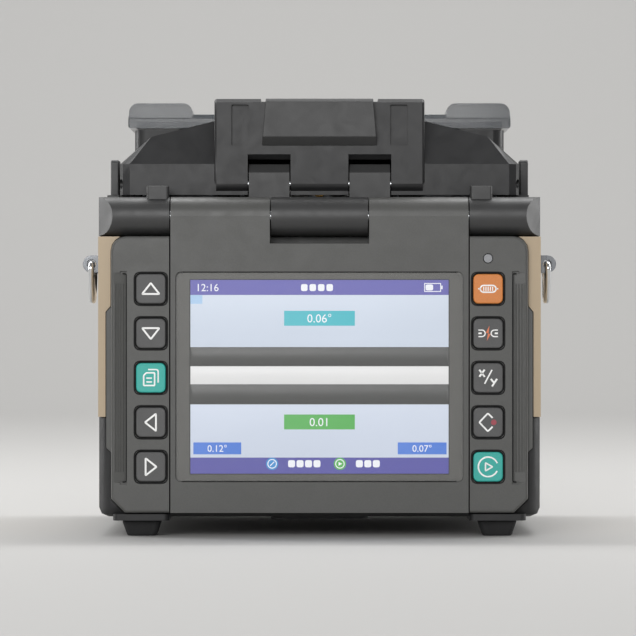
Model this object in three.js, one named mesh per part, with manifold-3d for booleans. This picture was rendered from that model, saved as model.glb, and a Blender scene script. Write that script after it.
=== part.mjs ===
// Fibre fusion splicer, in millimetres. +Z is up, the screen faces -Y, and the origin is on the
// ground under the middle of the machine. Left and right are the operator's, so left is -X.
import * as THREE from "three";
import { mergeVertices } from "three/addons/utils/BufferGeometryUtils.js";
import { ConvexGeometry } from "three/addons/geometries/ConvexGeometry.js";
import Module from "manifold-3d";

const wasm = await Module();
wasm.setup();

// ---------------------------------------------------------------- driving dimensions

// Clearances
const seam = 0.4; // between a moving piece and the moulding round it
const joint = 0.3; // between two fixed mouldings that meet face to face
const running = 0.15; // on the radius, round a pin that turns

// Whole machine
const bodyWidth = 150;
const bodyDepth = 139.4;
const footHeight = 5.4;
const skirtWall = 3.3; // the thickness of the outer mouldings
const keyProud = 0.6;
const halfWidth = bodyWidth / 2;
const faceY = -(bodyDepth - keyProud) / 2;
const rearY = faceY + bodyDepth;
const innerX = halfWidth - skirtWall; // inside face of the outer mouldings

// Front fascia, which holds the two key columns
const fasciaBottomZ = 8.1;
const fasciaHeight = 93.6;
const fasciaTopZ = fasciaBottomZ + fasciaHeight;
const fasciaOuterX = halfWidth - 4.5;
const fasciaDepth = 14.9;
const fasciaBackY = faceY + fasciaDepth;
const fasciaWall = 2.4;

// Monitor
const monitorWidth = 100.8;
const monitorDepth = 12;
const monitorX = monitorWidth / 2;
const columnInnerX = monitorX + seam;
const armInnerX = 16.8;
const notchZ = fasciaTopZ - 2.5; // top edge of the monitor between its two arms
const windowWidth = 97.3;
const windowHeight = 71;
const windowZ = 54.1;
const glassThickness = 1.2;
const displayWidth = 87.4;
const displayHeight = 65.6;

// Barrel hinge of the monitor
const barrelRadius = 6.6;
const shaftRadius = 2;
const barrelY = faceY + barrelRadius;
const barrelZ = fasciaTopZ + 0.2 + barrelRadius;
const deckZ = barrelZ + barrelRadius;
const deckThickness = 3.4;

// Keys
const keySize = 10;
const keyPitch = 15.04;
const keyTravel = 0.8;
const keyGap = 0.45;
const keyHole = keySize + 2 * keyGap;
const keyX = columnInnerX + 0.75 + keyHole / 2;
const lowestKeyZ = 23.7;

// Lower tub with its corner bumpers
const tubTopZ = 40.2;
const bumperStepZ = 30;
const tubBottomZ = footHeight + 1.2;
const tubFrontY = faceY + 2.9;
const cheekX = halfWidth - 2.8;
const sillZ = 28.2; // lowest edge of the side panels, half way along the machine
const sideRearY = rearY - 3;

// Wind cover
const coverAxisY = faceY + 20;
const coverAxisZ = deckZ + 4.9;
const coverHalfWidth = halfWidth - 6.5;
const coverWall = 2.4;
const coverFrontY = coverAxisY - 2.6;
const coverRearY = coverAxisY + 66.4;
const coverBottomZ = deckZ + 0.5;
const coverCreaseZ = deckZ + 11.7;
const shoulderX = coverHalfWidth - 10.6;
const shoulderZ = deckZ + 21.3;
const spineHalfWidth = 36;
const spineTopZ = deckZ + 34;
const spineEdgeZ = deckZ + 26.9; // top of the wings where they meet the spine
const knuckleRadius = 3.6;
const coverPinRadius = 1.5;
const earInnerX = 10.3;
const earOuterX = 24.2;

// Splicing bench under the wind cover
const fibreY = coverAxisY + 33.4;
const fibreZ = deckZ + 3.4;
const pitHalfX = 30;
const pitHalfY = 19;
const pitDepth = 15;
const clampHalf = 5; // half the length of a fibre clamp
const clampX = 21;
const stageInnerX = 36;
const stageLength = 26;
const stageTravel = 3; // a sheath stage slides this far towards the arc
const stageTongue = { x: 6, y: 3 };
const stageSlotX = stageInnerX + stageLength / 2 - stageTravel / 2;
const sheathLidHalf = 7;

// Heater at the back of the deck
const heaterHalfWidth = halfWidth - 8;
const heaterFrontY = coverRearY + 4;
const heaterDepth = 40;
const heaterRearY = heaterFrontY + heaterDepth;
const heaterTopZ = deckZ + 27.1;
const lidThickness = 5;
const lidHalfWidth = halfWidth - 5.7;
const tabInnerX = lidHalfWidth - 23.3;
const tabRise = 4;
const heaterAxisY = heaterRearY - 3.2;
const heaterAxisZ = heaterTopZ + 0.6;

// Battery in the back
const batteryHalfWidth = 46;
const batteryBottomZ = 16;
const batteryHeight = 36;
const batteryDepth = 64;

// ---------------------------------------------------------------- solids

// A closed three.js geometry as a solid that can be cut and joined.
function solid(geometry) {
  const bare = geometry.clone();
  bare.deleteAttribute("normal");
  bare.deleteAttribute("uv");
  const merged = mergeVertices(bare, 1e-4);
  const index = [];
  const old = merged.index.array;
  for (let i = 0; i < old.length; i += 3) {
    const [a, b, c] = [old[i], old[i + 1], old[i + 2]];
    if (a !== b && b !== c && c !== a) index.push(a, b, c);
  }
  return new wasm.Manifold(
    new wasm.Mesh({
      numProp: 3,
      vertProperties: merged.attributes.position.array,
      triVerts: new Uint32Array(index),
    }),
  );
}

function geometryOf(made) {
  const mesh = made.getMesh();
  const geometry = new THREE.BufferGeometry();
  geometry.setAttribute("position", new THREE.BufferAttribute(mesh.vertProperties, 3));
  geometry.setIndex(new THREE.BufferAttribute(mesh.triVerts, 1));
  const faceted = geometry.toNonIndexed();
  faceted.computeVertexNormals();
  return faceted;
}

function join(first, ...rest) {
  return rest.reduce((sum, next) => sum.add(next), first);
}

function cut(first, ...rest) {
  return rest.reduce((left, next) => left.subtract(next), first);
}

function box(x0, x1, y0, y1, z0, z1) {
  const geometry = new THREE.BoxGeometry(x1 - x0, y1 - y0, z1 - z0);
  geometry.translate((x0 + x1) / 2, (y0 + y1) / 2, (z0 + z1) / 2);
  return solid(geometry);
}

// A closed outline from its corner points.
function outline(points) {
  return new THREE.Shape(points.map(([u, v]) => new THREE.Vector2(u, v)));
}

// A rectangle with round corners.
function roundRect(u0, u1, v0, v1, radius) {
  const shape = new THREE.Shape();
  shape.absarc(u1 - radius, v1 - radius, radius, 0, Math.PI / 2);
  shape.absarc(u0 + radius, v1 - radius, radius, Math.PI / 2, Math.PI);
  shape.absarc(u0 + radius, v0 + radius, radius, Math.PI, 1.5 * Math.PI);
  shape.absarc(u1 - radius, v0 + radius, radius, 1.5 * Math.PI, 2 * Math.PI);
  return shape;
}

// The turns that carry an outline's own X, Y and depth to the machine's axes.
const turns = {
  x: new THREE.Matrix4().set(0, 0, 1, 0, 1, 0, 0, 0, 0, 1, 0, 0, 0, 0, 0, 1),
  y: new THREE.Matrix4().set(1, 0, 0, 0, 0, 0, -1, 0, 0, 1, 0, 0, 0, 0, 0, 1),
  z: new THREE.Matrix4(),
};

// An outline drawn in YZ, XZ or XY and extruded along the axis named, from one place to another,
// with its two end edges rounded off by edge.
function extrude(shape, along, from, to, edge = 0, curveSegments = 2) {
  const geometry = new THREE.ExtrudeGeometry(shape, {
    depth: to - from - 2 * edge,
    curveSegments,
    bevelEnabled: edge > 0,
    bevelThickness: edge,
    bevelSize: edge,
    bevelOffset: -edge,
    bevelSegments: 2,
  });
  geometry.translate(0, 0, edge);
  geometry.applyMatrix4(turns[along]);
  const shift = along === "y" ? to : from;
  geometry.translate(...["x", "y", "z"].map((a) => (a === along ? shift : 0)));
  return solid(geometry);
}

// A round bar along X, Y or Z, through a point given on the other two axes.
function bar(along, u, v, radius, from, to, sides = 24) {
  const shape = new THREE.Shape();
  shape.absarc(u, v, radius, 0, 2 * Math.PI);
  return extrude(shape, along, from, to, 0, sides / 2);
}

// A revolved piece standing on Z, from its profile of radius and height.
function turned(profile, sides = 24) {
  const points = profile.map(([r, z]) => new THREE.Vector2(r, z));
  const geometry = new THREE.LatheGeometry(points, sides);
  geometry.applyMatrix4(new THREE.Matrix4().makeRotationX(Math.PI / 2));
  const made = solid(geometry);
  return made;
}

// ---------------------------------------------------------------- materials

function plastic(color, roughness) {
  return new THREE.MeshStandardMaterial({ color, roughness, metalness: 0 });
}

function metal(color, roughness) {
  return new THREE.MeshStandardMaterial({ color, roughness, metalness: 1 });
}

const materials = {
  housing: plastic(0x4f4f4e, 0.5),
  black: plastic(0x1d1d1e, 0.45),
  beige: plastic(0xb8a587, 0.55),
  rubber: plastic(0x161616, 0.8),
  keyGrey: plastic(0x555554, 0.6),
  keyTeal: plastic(0x3dbcb0, 0.5),
  keyOrange: plastic(0xde8a45, 0.5),
  glass: plastic(0x6e6d68, 0.1),
  display: plastic(0x7a78b8, 0.3),
  smoke: plastic(0x59646a, 0.25),
  ceramic: plastic(0xe8e6df, 0.35),
  board: plastic(0x1f5a3c, 0.5),
  chrome: metal(0xd8d8d8, 0.12),
  steel: metal(0xb0b2b4, 0.3),
  aluminium: metal(0x8d9093, 0.4),
  brass: metal(0xc9a455, 0.3),
};

const machine = new THREE.Group();

// Adds one named piece to a group. Its solid is drawn in that group's own frame.
function piece(group, name, made, material) {
  const mesh = new THREE.Mesh(geometryOf(made), materials[material]);
  mesh.name = name;
  group.add(mesh);
  return mesh;
}

function groupAt(x, y, z, parent = machine) {
  const group = new THREE.Group();
  group.position.set(x, y, z);
  parent.add(group);
  return group;
}

const sides = { left: -1, right: 1 };

// ---------------------------------------------------------------- base: tub, feet, side panels

const footX = halfWidth - 14.6;
const footY = halfWidth - 17;
const footPocket = { x: 7.4, y: 7.4, z: 1.6 };
const battery = {
  z0: batteryBottomZ,
  z1: batteryBottomZ + batteryHeight,
  y0: rearY - batteryDepth,
};
const insertTop = tubBottomZ + 6;
const port = { y0: 24, y1: 52, z0: 54, z1: 70 };

// The outline of the front fascia, grown all round by a gap.
const fasciaOutline = (grow) => {
  const [w, z0, z1] = [fasciaOuterX + grow, fasciaBottomZ - grow, fasciaTopZ + grow];
  const top = 5 + grow;
  const shape = new THREE.Shape();
  shape.absarc(w - top, z1 - top, top, 0, Math.PI / 2);
  shape.absarc(-w + top, z1 - top, top, Math.PI / 2, Math.PI);
  shape.lineTo(-w, z0 + 4.7);
  shape.lineTo(-w + 4.7, z0);
  shape.lineTo(w - 4.7, z0);
  shape.lineTo(w, z0 + 4.7);
  return shape;
};

// A cheek of the fascia, which shows as a dark strip beside each column.
const cheekTopZ = 78;
const cheekOutline = (grow) => outline([
  [fasciaOuterX - 1, bumperStepZ - 1.5 - grow], [fasciaOuterX + grow * 0.4, bumperStepZ - 1.5 - grow],
  [cheekX + grow, bumperStepZ - grow * 0.4], [cheekX + grow, cheekTopZ - 2 + grow * 0.4],
  [fasciaOuterX + grow * 0.4, cheekTopZ + grow], [fasciaOuterX - 1, cheekTopZ + grow],
]);

// The black tub: a floor and low walls, with bumpers that climb the four corners.
function lowerTub() {
  const plan = roundRect(-halfWidth, halfWidth, tubFrontY, rearY, 6);
  const block = extrude(plan, "z", tubBottomZ, tubTopZ + 6, 3);
  const cavity = box(-innerX, innerX, fasciaBackY + joint, rearY - skirtWall, tubBottomZ + 2.4, deckZ);
  const above = box(-halfWidth - 1, halfWidth + 1, tubFrontY - 1, rearY + 1, tubTopZ, deckZ);
  const fasciaRoom = extrude(fasciaOutline(joint), "y", tubFrontY - 1, fasciaBackY + joint + 1);
  const belly = outline([
    [-44, tubTopZ + 1], [-44, tubTopZ], [-32, sillZ], [32, sillZ], [44, tubTopZ], [44, tubTopZ + 1],
  ]);
  const sideDip = extrude(belly, "x", -halfWidth - 1, halfWidth + 1);
  const batteryMouth = box(
    -batteryHalfWidth - 1.2, batteryHalfWidth + 1.2, rearY - 8, rearY + 1, battery.z0 - 1.2, deckZ,
  );
  const cheekRoom = extrude(cheekOutline(joint), "y", tubFrontY - 1, fasciaBackY + joint + 1);
  const cheekRooms = [cheekRoom, cheekRoom.mirror([1, 0, 0])];
  const plinths = [-1, 1].flatMap((sx) =>
    [-1, 1].map((sy) =>
      extrude(
        roundRect(sx * footX - 9.6, sx * footX + 9.6, sy * footY - 9.6, sy * footY + 9.6, 2),
        "z", footHeight, tubBottomZ + 1,
      ),
    ),
  );
  const pad = extrude(roundRect(-16.6, 16.6, -56, 56, 3), "z", footHeight, tubBottomZ + 1);
  const boss = bar("z", 0, 0, 9, tubBottomZ + 1, insertTop);
  const footPockets = [-1, 1].flatMap((sx) =>
    [-1, 1].map((sy) =>
      box(
        sx * footX - footPocket.x / 2, sx * footX + footPocket.x / 2,
        sy * footY - footPocket.y / 2, sy * footY + footPocket.y / 2,
        0, footHeight + footPocket.z,
      ),
    ),
  );
  const tripodHole = bar("z", 0, 0, 6 + joint, 0, 40);
  return cut(
    join(cut(block, cavity, above, fasciaRoom, sideDip, batteryMouth, ...cheekRooms), ...plinths, pad, boss),
    ...footPockets, tripodHole,
  );
}
piece(machine, "lower_tub", lowerTub(), "black");

// A rubber foot: a square peg in the tub, and a block that narrows to the ground.
function foot() {
  const [top, bottom] = [6.6, 4.7];
  const points = [
    [top, footHeight - joint], [top - 0.7, footHeight - joint - 1.2], [bottom + 0.4, 0.5], [bottom, 0],
  ];
  const corners = points.flatMap(([half, z]) =>
    [[-1, -1], [1, -1], [1, 1], [-1, 1]].flatMap(([sx, sy]) => [
      new THREE.Vector3(sx * half, sy * (half - 1), z),
      new THREE.Vector3(sx * (half - 1), sy * half, z),
    ]),
  );
  const half = footPocket.x / 2 - joint;
  const peg = box(-half, half, -half, half, footHeight - 1, footHeight + footPocket.z - joint);
  return join(solid(new ConvexGeometry(corners)), peg);
}
for (const [sideName, sx] of Object.entries(sides)) {
  for (const [endName, sy] of [["front", -1], ["rear", 1]]) {
    piece(groupAt(sx * footX, sy * footY, 0), `foot_${endName}_${sideName}`, foot(), "rubber");
  }
}

// The threaded insert that a tripod screws into.
piece(
  machine,
  "tripod_socket",
  turned([[2.6, footHeight + 0.2], [6, footHeight + 0.2], [6, insertTop], [2.6, insertTop], [2.6, footHeight + 0.2]]),
  "brass",
);

// A side panel: a beige cladding plate with a front return that shows round the fascia.
const panelTopZ = fasciaTopZ + 0.2 - joint;
const lugY = -44;
const lugZ = 92.5;

function sidePanel(side) {
  const frontY = tubFrontY;
  const profile = (gap) => outline([
    [frontY + gap, tubTopZ + joint + gap], [-44 - gap * 0.4, tubTopZ + joint + gap],
    [-32 - gap * 0.4, sillZ + joint + gap], [32 + gap * 0.4, sillZ + joint + gap],
    [44 + gap * 0.4, tubTopZ + joint + gap], [sideRearY - gap, tubTopZ + joint + gap],
    [sideRearY - gap, panelTopZ - gap], [frontY + gap, panelTopZ - gap],
  ]);
  const plate = extrude(profile(0), "x", innerX, halfWidth + 2, 1);
  const faced = cut(plate, box(halfWidth, halfWidth + 3, -90, 90, 0, 120));
  // The return fills the corner behind the fascia's round shoulder and runs down beside it.
  const fill = box(fasciaOuterX - 8, innerX + 1, frontY, frontY + 3, cheekTopZ - 3, panelTopZ);
  const strip = box(cheekX + joint, innerX + 1, frontY, frontY + 3, tubTopZ + joint, cheekTopZ);
  const fasciaHole = extrude(fasciaOutline(joint), "y", faceY - 1, fasciaBackY + 6);
  const cheekRoom = extrude(cheekOutline(joint), "y", faceY, fasciaBackY + joint);
  const inset = extrude(profile(9), "x", halfWidth - 0.8, halfWidth + 1);
  const field = cut(inset, box(0, 200, lugY - 13, lugY + 13, lugZ - 9, 200));
  const lugSeat = box(halfWidth - 1.2, halfWidth + 1, lugY - 8 - joint, lugY + 8 + joint, lugZ - 5.3, lugZ + 5.3);
  const slots = Array.from({ length: 9 }, (_, i) =>
    extrude(
      outline([[-30 + i * 5, 38], [-27.6 + i * 5, 38], [-21.6 + i * 5, 58], [-24 + i * 5, 58]]),
      "x", innerX - 1, halfWidth + 1,
    ),
  );
  let panel = cut(join(faced, fill, strip), fasciaHole, cheekRoom, field, lugSeat, ...slots);
  if (side > 0) {
    panel = cut(panel, extrude(roundRect(port.y0, port.y1, port.z0, port.z1, 2), "x", innerX - 1, halfWidth + 1));
  }
  return side > 0 ? panel : panel.mirror([1, 0, 0]);
}
for (const [name, side] of Object.entries(sides)) {
  piece(machine, `side_panel_${name}`, sidePanel(side), "beige");
}

// A strap lug: a plate let into the side panel, with two ears and the eye between them.
const eyeRadius = 1.3;
const lugEyeX = halfWidth + 3.2;
function strapLug(side) {
  const plate = box(halfWidth - 0.9, halfWidth + 0.6, lugY - 8, lugY + 8, lugZ - 5, lugZ + 5);
  const earOut = 7;
  const ear = (y0, y1) =>
    join(
      bar("y", lugEyeX, lugZ, 3, y0, y1, 16),
      box(halfWidth, lugEyeX, y0, y1, lugZ - 3, lugZ + 3),
    );
  const eye = bar("y", lugEyeX, lugZ, eyeRadius + running + 0.1, lugY - 9, lugY + 9, 16);
  const made = cut(join(plate, ear(lugY - earOut, lugY - 4), ear(lugY + 4, lugY + earOut)), eye);
  return side > 0 ? made : made.mirror([1, 0, 0]);
}

// A strap ring: a bent rod whose straight top bar turns in the lug. It hangs flat beside the panel.
function strapRing() {
  const [w, h, r] = [8.4, 12.5, 3.2];
  const path = new THREE.CurvePath();
  const at = (y, z) => new THREE.Vector3(0, y, z);
  path.add(new THREE.LineCurve3(at(-w, 0), at(w, 0)));
  path.add(new THREE.QuadraticBezierCurve3(at(w, 0), at(w + 2.4, 0), at(w + 2.2, -2.4)));
  path.add(new THREE.LineCurve3(at(w + 2.2, -2.4), at(w - 1, -h + r)));
  path.add(new THREE.QuadraticBezierCurve3(at(w - 1, -h + r), at(w - 2, -h), at(w - 2 - r, -h)));
  path.add(new THREE.LineCurve3(at(w - 2 - r, -h), at(-w + 2 + r, -h)));
  path.add(new THREE.QuadraticBezierCurve3(at(-w + 2 + r, -h), at(-w + 2, -h), at(-w + 1, -h + r)));
  path.add(new THREE.LineCurve3(at(-w + 1, -h + r), at(-w - 2.2, -2.4)));
  path.add(new THREE.QuadraticBezierCurve3(at(-w - 2.2, -2.4), at(-w - 2.4, 0), at(-w, 0)));
  const points = path.curves.flatMap((c) => (c.isLineCurve3 ? c.getPoints(2) : c.getPoints(4)).slice(0, -1));
  // Eight-sided rings of the rod, each square to the path, joined to the next one round the loop.
  const sidesOfRod = 8;
  const position = [];
  const index = [];
  points.forEach((p, i) => {
    const next = points[(i + 1) % points.length];
    const last = points[(i + points.length - 1) % points.length];
    const tangent = next.clone().sub(last).normalize();
    const normal = new THREE.Vector3(0, -tangent.z, tangent.y);
    for (let k = 0; k < sidesOfRod; k += 1) {
      const a = (2 * Math.PI * (k + 0.5)) / sidesOfRod;
      position.push(
        eyeRadius * Math.sin(a),
        p.y + eyeRadius * Math.cos(a) * normal.y,
        p.z + eyeRadius * Math.cos(a) * normal.z,
      );
      const [a0, b0] = [i * sidesOfRod, ((i + 1) % points.length) * sidesOfRod];
      const k1 = (k + 1) % sidesOfRod;
      index.push(a0 + k, b0 + k, b0 + k1, a0 + k, b0 + k1, a0 + k1);
    }
  });
  const geometry = new THREE.BufferGeometry();
  geometry.setAttribute("position", new THREE.Float32BufferAttribute(position, 3));
  geometry.setIndex(index);
  const made = solid(geometry);
  if (made.volume() > 0) return made;
  for (let i = 0; i < index.length; i += 3) [index[i], index[i + 1]] = [index[i + 1], index[i]];
  geometry.setIndex(index);
  return solid(geometry);
}
for (const [name, side] of Object.entries(sides)) {
  piece(machine, `strap_lug_${name}`, strapLug(side), "steel");
  piece(groupAt(side * lugEyeX, lugY, lugZ), `strap_ring_${name}`, strapRing(), "chrome");
}

// ---------------------------------------------------------------- front fascia and keys

const keyZ = (row) => lowestKeyZ + row * keyPitch; // row 0 is the lowest
const statusZ = keyZ(4) + 10.3;
const statusRadius = 1.6;

function fascia() {
  const block = cut(
    extrude(fasciaOutline(0), "y", faceY, fasciaBackY + 2, 0.8),
    box(-halfWidth, halfWidth, fasciaBackY, fasciaBackY + 3, 0, 120),
  );
  const cheek = (side) => {
    const made = extrude(cheekOutline(0), "y", faceY + 1.9, fasciaBackY);
    return side > 0 ? made : made.mirror([1, 0, 0]);
  };
  const bay = box(-columnInnerX, columnInnerX, faceY - 1, faceY + monitorDepth + seam, 0, 120);
  const hollow = (side) => {
    const made = box(
      keyX - keyHole / 2, fasciaOuterX - fasciaWall, faceY + fasciaWall, fasciaBackY + 1,
      fasciaBottomZ + 4.5, fasciaTopZ - 4,
    );
    return side > 0 ? made : made.mirror([1, 0, 0]);
  };
  const grip = (side) => {
    const made = extrude(
      outline([
        [fasciaOuterX - 4.9, faceY - 1], [fasciaOuterX - 4.9, faceY + 0.9], [fasciaOuterX - 0.9, faceY],
        [fasciaOuterX - 0.9, faceY - 1],
      ]),
      "z", keyZ(0) - 5.4, keyZ(4) + 5.4,
    );
    return side > 0 ? made : made.mirror([1, 0, 0]);
  };
  const hook = (side, row, way) => {
    const [x, z] = [fasciaOuterX - 4.9, keyZ(row) + way * 5.4];
    const [z0, z1] = [z - way * 0.35, z + way * 0.55].sort((a, b) => a - b);
    const made = box(x - 0.45, x + 1.8, faceY - 1, faceY + 0.7, z0, z1);
    return side > 0 ? made : made.mirror([1, 0, 0]);
  };
  const hooks = Object.values(sides).flatMap((side) => [hook(side, 0, -1), hook(side, 4, 1)]);
  const holes = Object.values(sides).flatMap((side) =>
    [0, 1, 2, 3, 4].map((row) =>
      extrude(
        roundRect(
          side * keyX - keyHole / 2, side * keyX + keyHole / 2, keyZ(row) - keyHole / 2, keyZ(row) + keyHole / 2, 2.2,
        ),
        "y", faceY - 1, faceY + fasciaWall + 1,
      ),
    ),
  );
  const status = bar("y", keyX, statusZ, statusRadius + 0.1, faceY - 1, faceY + fasciaWall + 1, 16);
  return cut(
    join(block, cheek(-1), cheek(1)), bay, hollow(-1), hollow(1), grip(-1), grip(1), ...hooks, ...holes, status,
  );
}
piece(machine, "front_fascia", fascia(), "housing");

piece(
  machine,
  "status_light",
  join(
    bar("y", keyX, statusZ, statusRadius - 0.1, faceY + 0.1, faceY + fasciaWall + 1, 16),
    bar("y", keyX, statusZ, statusRadius + 0.7, faceY + fasciaWall + joint, faceY + fasciaWall + 1.4, 16),
  ),
  "smoke",
);

// A key: a cap that stands a little proud, on a flange that keeps it behind the fascia.
function key() {
  const cap = extrude(roundRect(-keySize / 2, keySize / 2, -keySize / 2, keySize / 2, 1.8), "y", 0, 4.4, 0.4);
  const rim = extrude(
    roundRect(-keySize / 2, keySize / 2, -keySize / 2 - 0.9, keySize / 2 + 0.9, 1.8),
    "y", keyProud + fasciaWall + 0.4, 4.4,
  );
  return join(cap, rim);
}
const keys = {
  left: ["key_right", "key_left", "key_menu", "key_down", "key_up"],
  right: ["key_run", "key_reset", "key_view", "key_arc", "key_heat"],
};
const keyColours = { key_menu: "keyTeal", key_run: "keyTeal", key_heat: "keyOrange" };
for (const [column, names] of Object.entries(keys)) {
  names.forEach((name, row) => {
    const at = groupAt(sides[column] * keyX, faceY - keyProud, keyZ(row));
    piece(at, name, key(), keyColours[name] ?? "keyGrey");
  });
}

// ---------------------------------------------------------------- top deck with the fixed barrels

const earTopZ = coverAxisZ + 6.7;
const deckBottomZ = fasciaTopZ + 0.2;
const shaft = (radius, x0, x1) => bar("x", barrelY, barrelZ, radius, x0, x1);

function topDeck() {
  const plan = roundRect(-halfWidth, halfWidth, barrelY - 6, sideRearY, 4);
  const lid = cut(
    extrude(plan, "z", deckBottomZ - 4, deckZ, 0.8),
    box(-100, 100, -100, 100, 0, deckBottomZ),
    box(-innerX, innerX, fasciaBackY + joint, sideRearY - skirtWall, 0, deckZ - deckThickness),
    box(-100, 100, -100, barrelY, 0, 200),
    box(-columnInnerX, -armInnerX + seam, -100, barrelY + barrelRadius + seam, 0, 200),
    box(armInnerX - seam, columnInnerX, -100, barrelY + barrelRadius + seam, 0, 200),
  );
  const barrels = [
    [-halfWidth, -columnInnerX], [-armInnerX + seam, armInnerX - seam], [columnInnerX, halfWidth],
  ].map(([x0, x1]) => bar("x", barrelY, barrelZ, barrelRadius, x0, x1, 32));
  // The front of each barrel end is cut off at a slant.
  const slants = Object.values(sides).map((side) =>
    extrude(
      outline(
        [[side * halfWidth, barrelY], [side * (halfWidth - 5), faceY], [side * (halfWidth - 5), faceY - 2],
          [side * (halfWidth + 2), faceY - 2], [side * (halfWidth + 2), barrelY]].map(([x, y]) => [x, y]),
      ),
      "z", deckBottomZ - 2, deckZ + 2,
    ),
  );
  const stops = Object.values(sides).map((side) =>
    extrude(
      roundRect(side * 54.9 - 3.7, side * 54.9 + 3.7, barrelY - 3, barrelY + 4.5, 0.8),
      "z", deckZ - 4, deckZ + 3.7, 0.3,
    ),
  );
  const ears = Object.values(sides).map((side) => {
    const profile = outline([
      [coverAxisY - 3.6, deckZ - 1], [coverAxisY + 4, deckZ - 1], [coverAxisY + 4, earTopZ - 3],
      [coverAxisY + 1.5, earTopZ], [coverAxisY - 1.2, earTopZ], [coverAxisY - 3.6, earTopZ - 2.9],
    ]);
    const made = extrude(profile, "x", earInnerX, earOuterX);
    return side > 0 ? made : made.mirror([1, 0, 0]);
  });
  const bore = shaft(shaftRadius + running, -halfWidth + 4, halfWidth - 4);
  const pinBore = bar("x", coverAxisY, coverAxisZ, coverPinRadius + running, -40, 40, 16);
  const pit = extrude(
    roundRect(-pitHalfX - 0.5, pitHalfX + 0.5, fibreY - pitHalfY - 0.5, fibreY + pitHalfY + 0.5, 3),
    "z", 0, deckZ + 1,
  );
  const stageSlots = Object.values(sides).map((side) =>
    extrude(
      roundRect(
        side * stageSlotX - stageTongue.x - stageTravel / 2 - 1, side * stageSlotX + stageTongue.x + stageTravel / 2 + 1,
        fibreY - stageTongue.y - joint, fibreY + stageTongue.y + joint, 1,
      ),
      "z", deckBottomZ, deckZ + 1,
    ),
  );
  return cut(
    join(lid, ...barrels, ...stops, ...ears), ...slants, bore, pinBore, pit, ...stageSlots,
  );
}
piece(machine, "top_deck", topDeck(), "housing");

piece(machine, "monitor_hinge_shaft", shaft(shaftRadius, -halfWidth + 6, halfWidth - 6), "steel");
piece(
  machine,
  "cover_hinge_pin",
  bar("x", coverAxisY, coverAxisZ, coverPinRadius, -spineHalfWidth + 1, spineHalfWidth - 1, 16),
  "steel",
);

// ---------------------------------------------------------------- monitor

// Adds a piece whose solid is drawn in the machine's frame to a group that sits on its hinge axis.
function hung(group, name, made, material) {
  const { x, y, z } = group.position;
  return piece(group, name, made.translate([-x, -y, -z]), material);
}

const monitor = groupAt(0, barrelY, barrelZ);
const bezelDepth = 8.2;
const windowZ0 = windowZ - windowHeight / 2;
const windowZ1 = windowZ + windowHeight / 2;
const windowRecess = glassThickness + 0.1;
const lcdMargin = 2.6;
const lcdY = faceY + windowRecess + 0.5;

function monitorOutline(grow) {
  const x = monitorX + grow;
  return outline([
    [-x, fasciaBottomZ - grow], [x, fasciaBottomZ - grow], [x, barrelZ], [armInnerX - grow, barrelZ],
    [armInnerX - grow, notchZ], [-armInnerX + grow, notchZ], [-armInnerX + grow, barrelZ], [-x, barrelZ],
  ]);
}

function monitorBezel() {
  const slab = extrude(monitorOutline(0), "y", faceY, faceY + bezelDepth);
  const bottomEdge = extrude(
    outline([[faceY - 1, fasciaBottomZ - 1], [faceY + 0.8, fasciaBottomZ - 1], [faceY - 1, fasciaBottomZ + 0.8]]),
    "x", -monitorX - 1, monitorX + 1,
  );
  const arms = Object.values(sides).map((side) => {
    const x0 = Math.min(side * armInnerX, side * monitorX);
    return bar("x", barrelY, barrelZ, barrelRadius, x0, x0 + monitorX - armInnerX, 32);
  });
  const behindArms = box(-100, 100, barrelY, faceY + bezelDepth + 1, barrelZ, 200);
  const armBack = cut(
    box(-100, 100, barrelY, faceY + bezelDepth + 1, barrelZ - barrelRadius, barrelZ),
    shaft(barrelRadius, -101, 101),
  );
  const half = windowWidth / 2;
  const glassRecess = extrude(
    roundRect(-half - 0.1, half + 0.1, windowZ0 - 0.1, windowZ1 + 0.1, 2),
    "y", faceY - 1, faceY + windowRecess,
  );
  const [w, h] = [displayWidth / 2 + lcdMargin + 0.2, displayHeight / 2 + lcdMargin + 0.2];
  const lcdRoom = box(-w, w, faceY, faceY + bezelDepth + 1, windowZ - h, windowZ + h);
  const bore = shaft(shaftRadius + running, -100, 100);
  return cut(
    join(cut(slab, behindArms, armBack, bottomEdge), ...arms), glassRecess, lcdRoom, bore,
  );
}
hung(monitor, "monitor_bezel", monitorBezel(), "housing");

const glassHalf = windowWidth / 2 - 0.1;
hung(
  monitor,
  "screen_window",
  extrude(
    roundRect(-glassHalf, glassHalf, windowZ0 + 0.1, windowZ1 - 0.1, 1.9), "y", faceY, faceY + glassThickness,
  ),
  "glass",
);
hung(
  monitor,
  "lcd_module",
  box(
    -displayWidth / 2 - lcdMargin, displayWidth / 2 + lcdMargin, lcdY, lcdY + 4.2,
    windowZ - displayHeight / 2 - lcdMargin, windowZ + displayHeight / 2 + lcdMargin,
  ),
  "display",
);
const coverPlateY = faceY + bezelDepth + joint;
hung(
  monitor,
  "monitor_rear_cover",
  cut(
    extrude(
      roundRect(-monitorX + 0.6, monitorX - 0.6, fasciaBottomZ + 0.8, barrelZ - barrelRadius - 2.4, 3),
      "y", coverPlateY - 2, faceY + monitorDepth, 1.2,
    ),
    box(-100, 100, -100, coverPlateY, 0, 200),
  ),
  "black",
);

// ---------------------------------------------------------------- wind cover

const windCover = groupAt(0, coverAxisY, coverAxisZ);
const roofLean = 0.6; // how far the wings' upper faces lean in, for each millimetre they rise
const spineFrontY = coverAxisY - knuckleRadius;
const spineRearY = coverRearY + 1;
const slotHalf = 5; // half the width of the fibre's way out through each side
const slotHeight = 6.2;
const lampHalf = 19.8;
const lampChinZ = coverAxisZ + 13;

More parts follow.
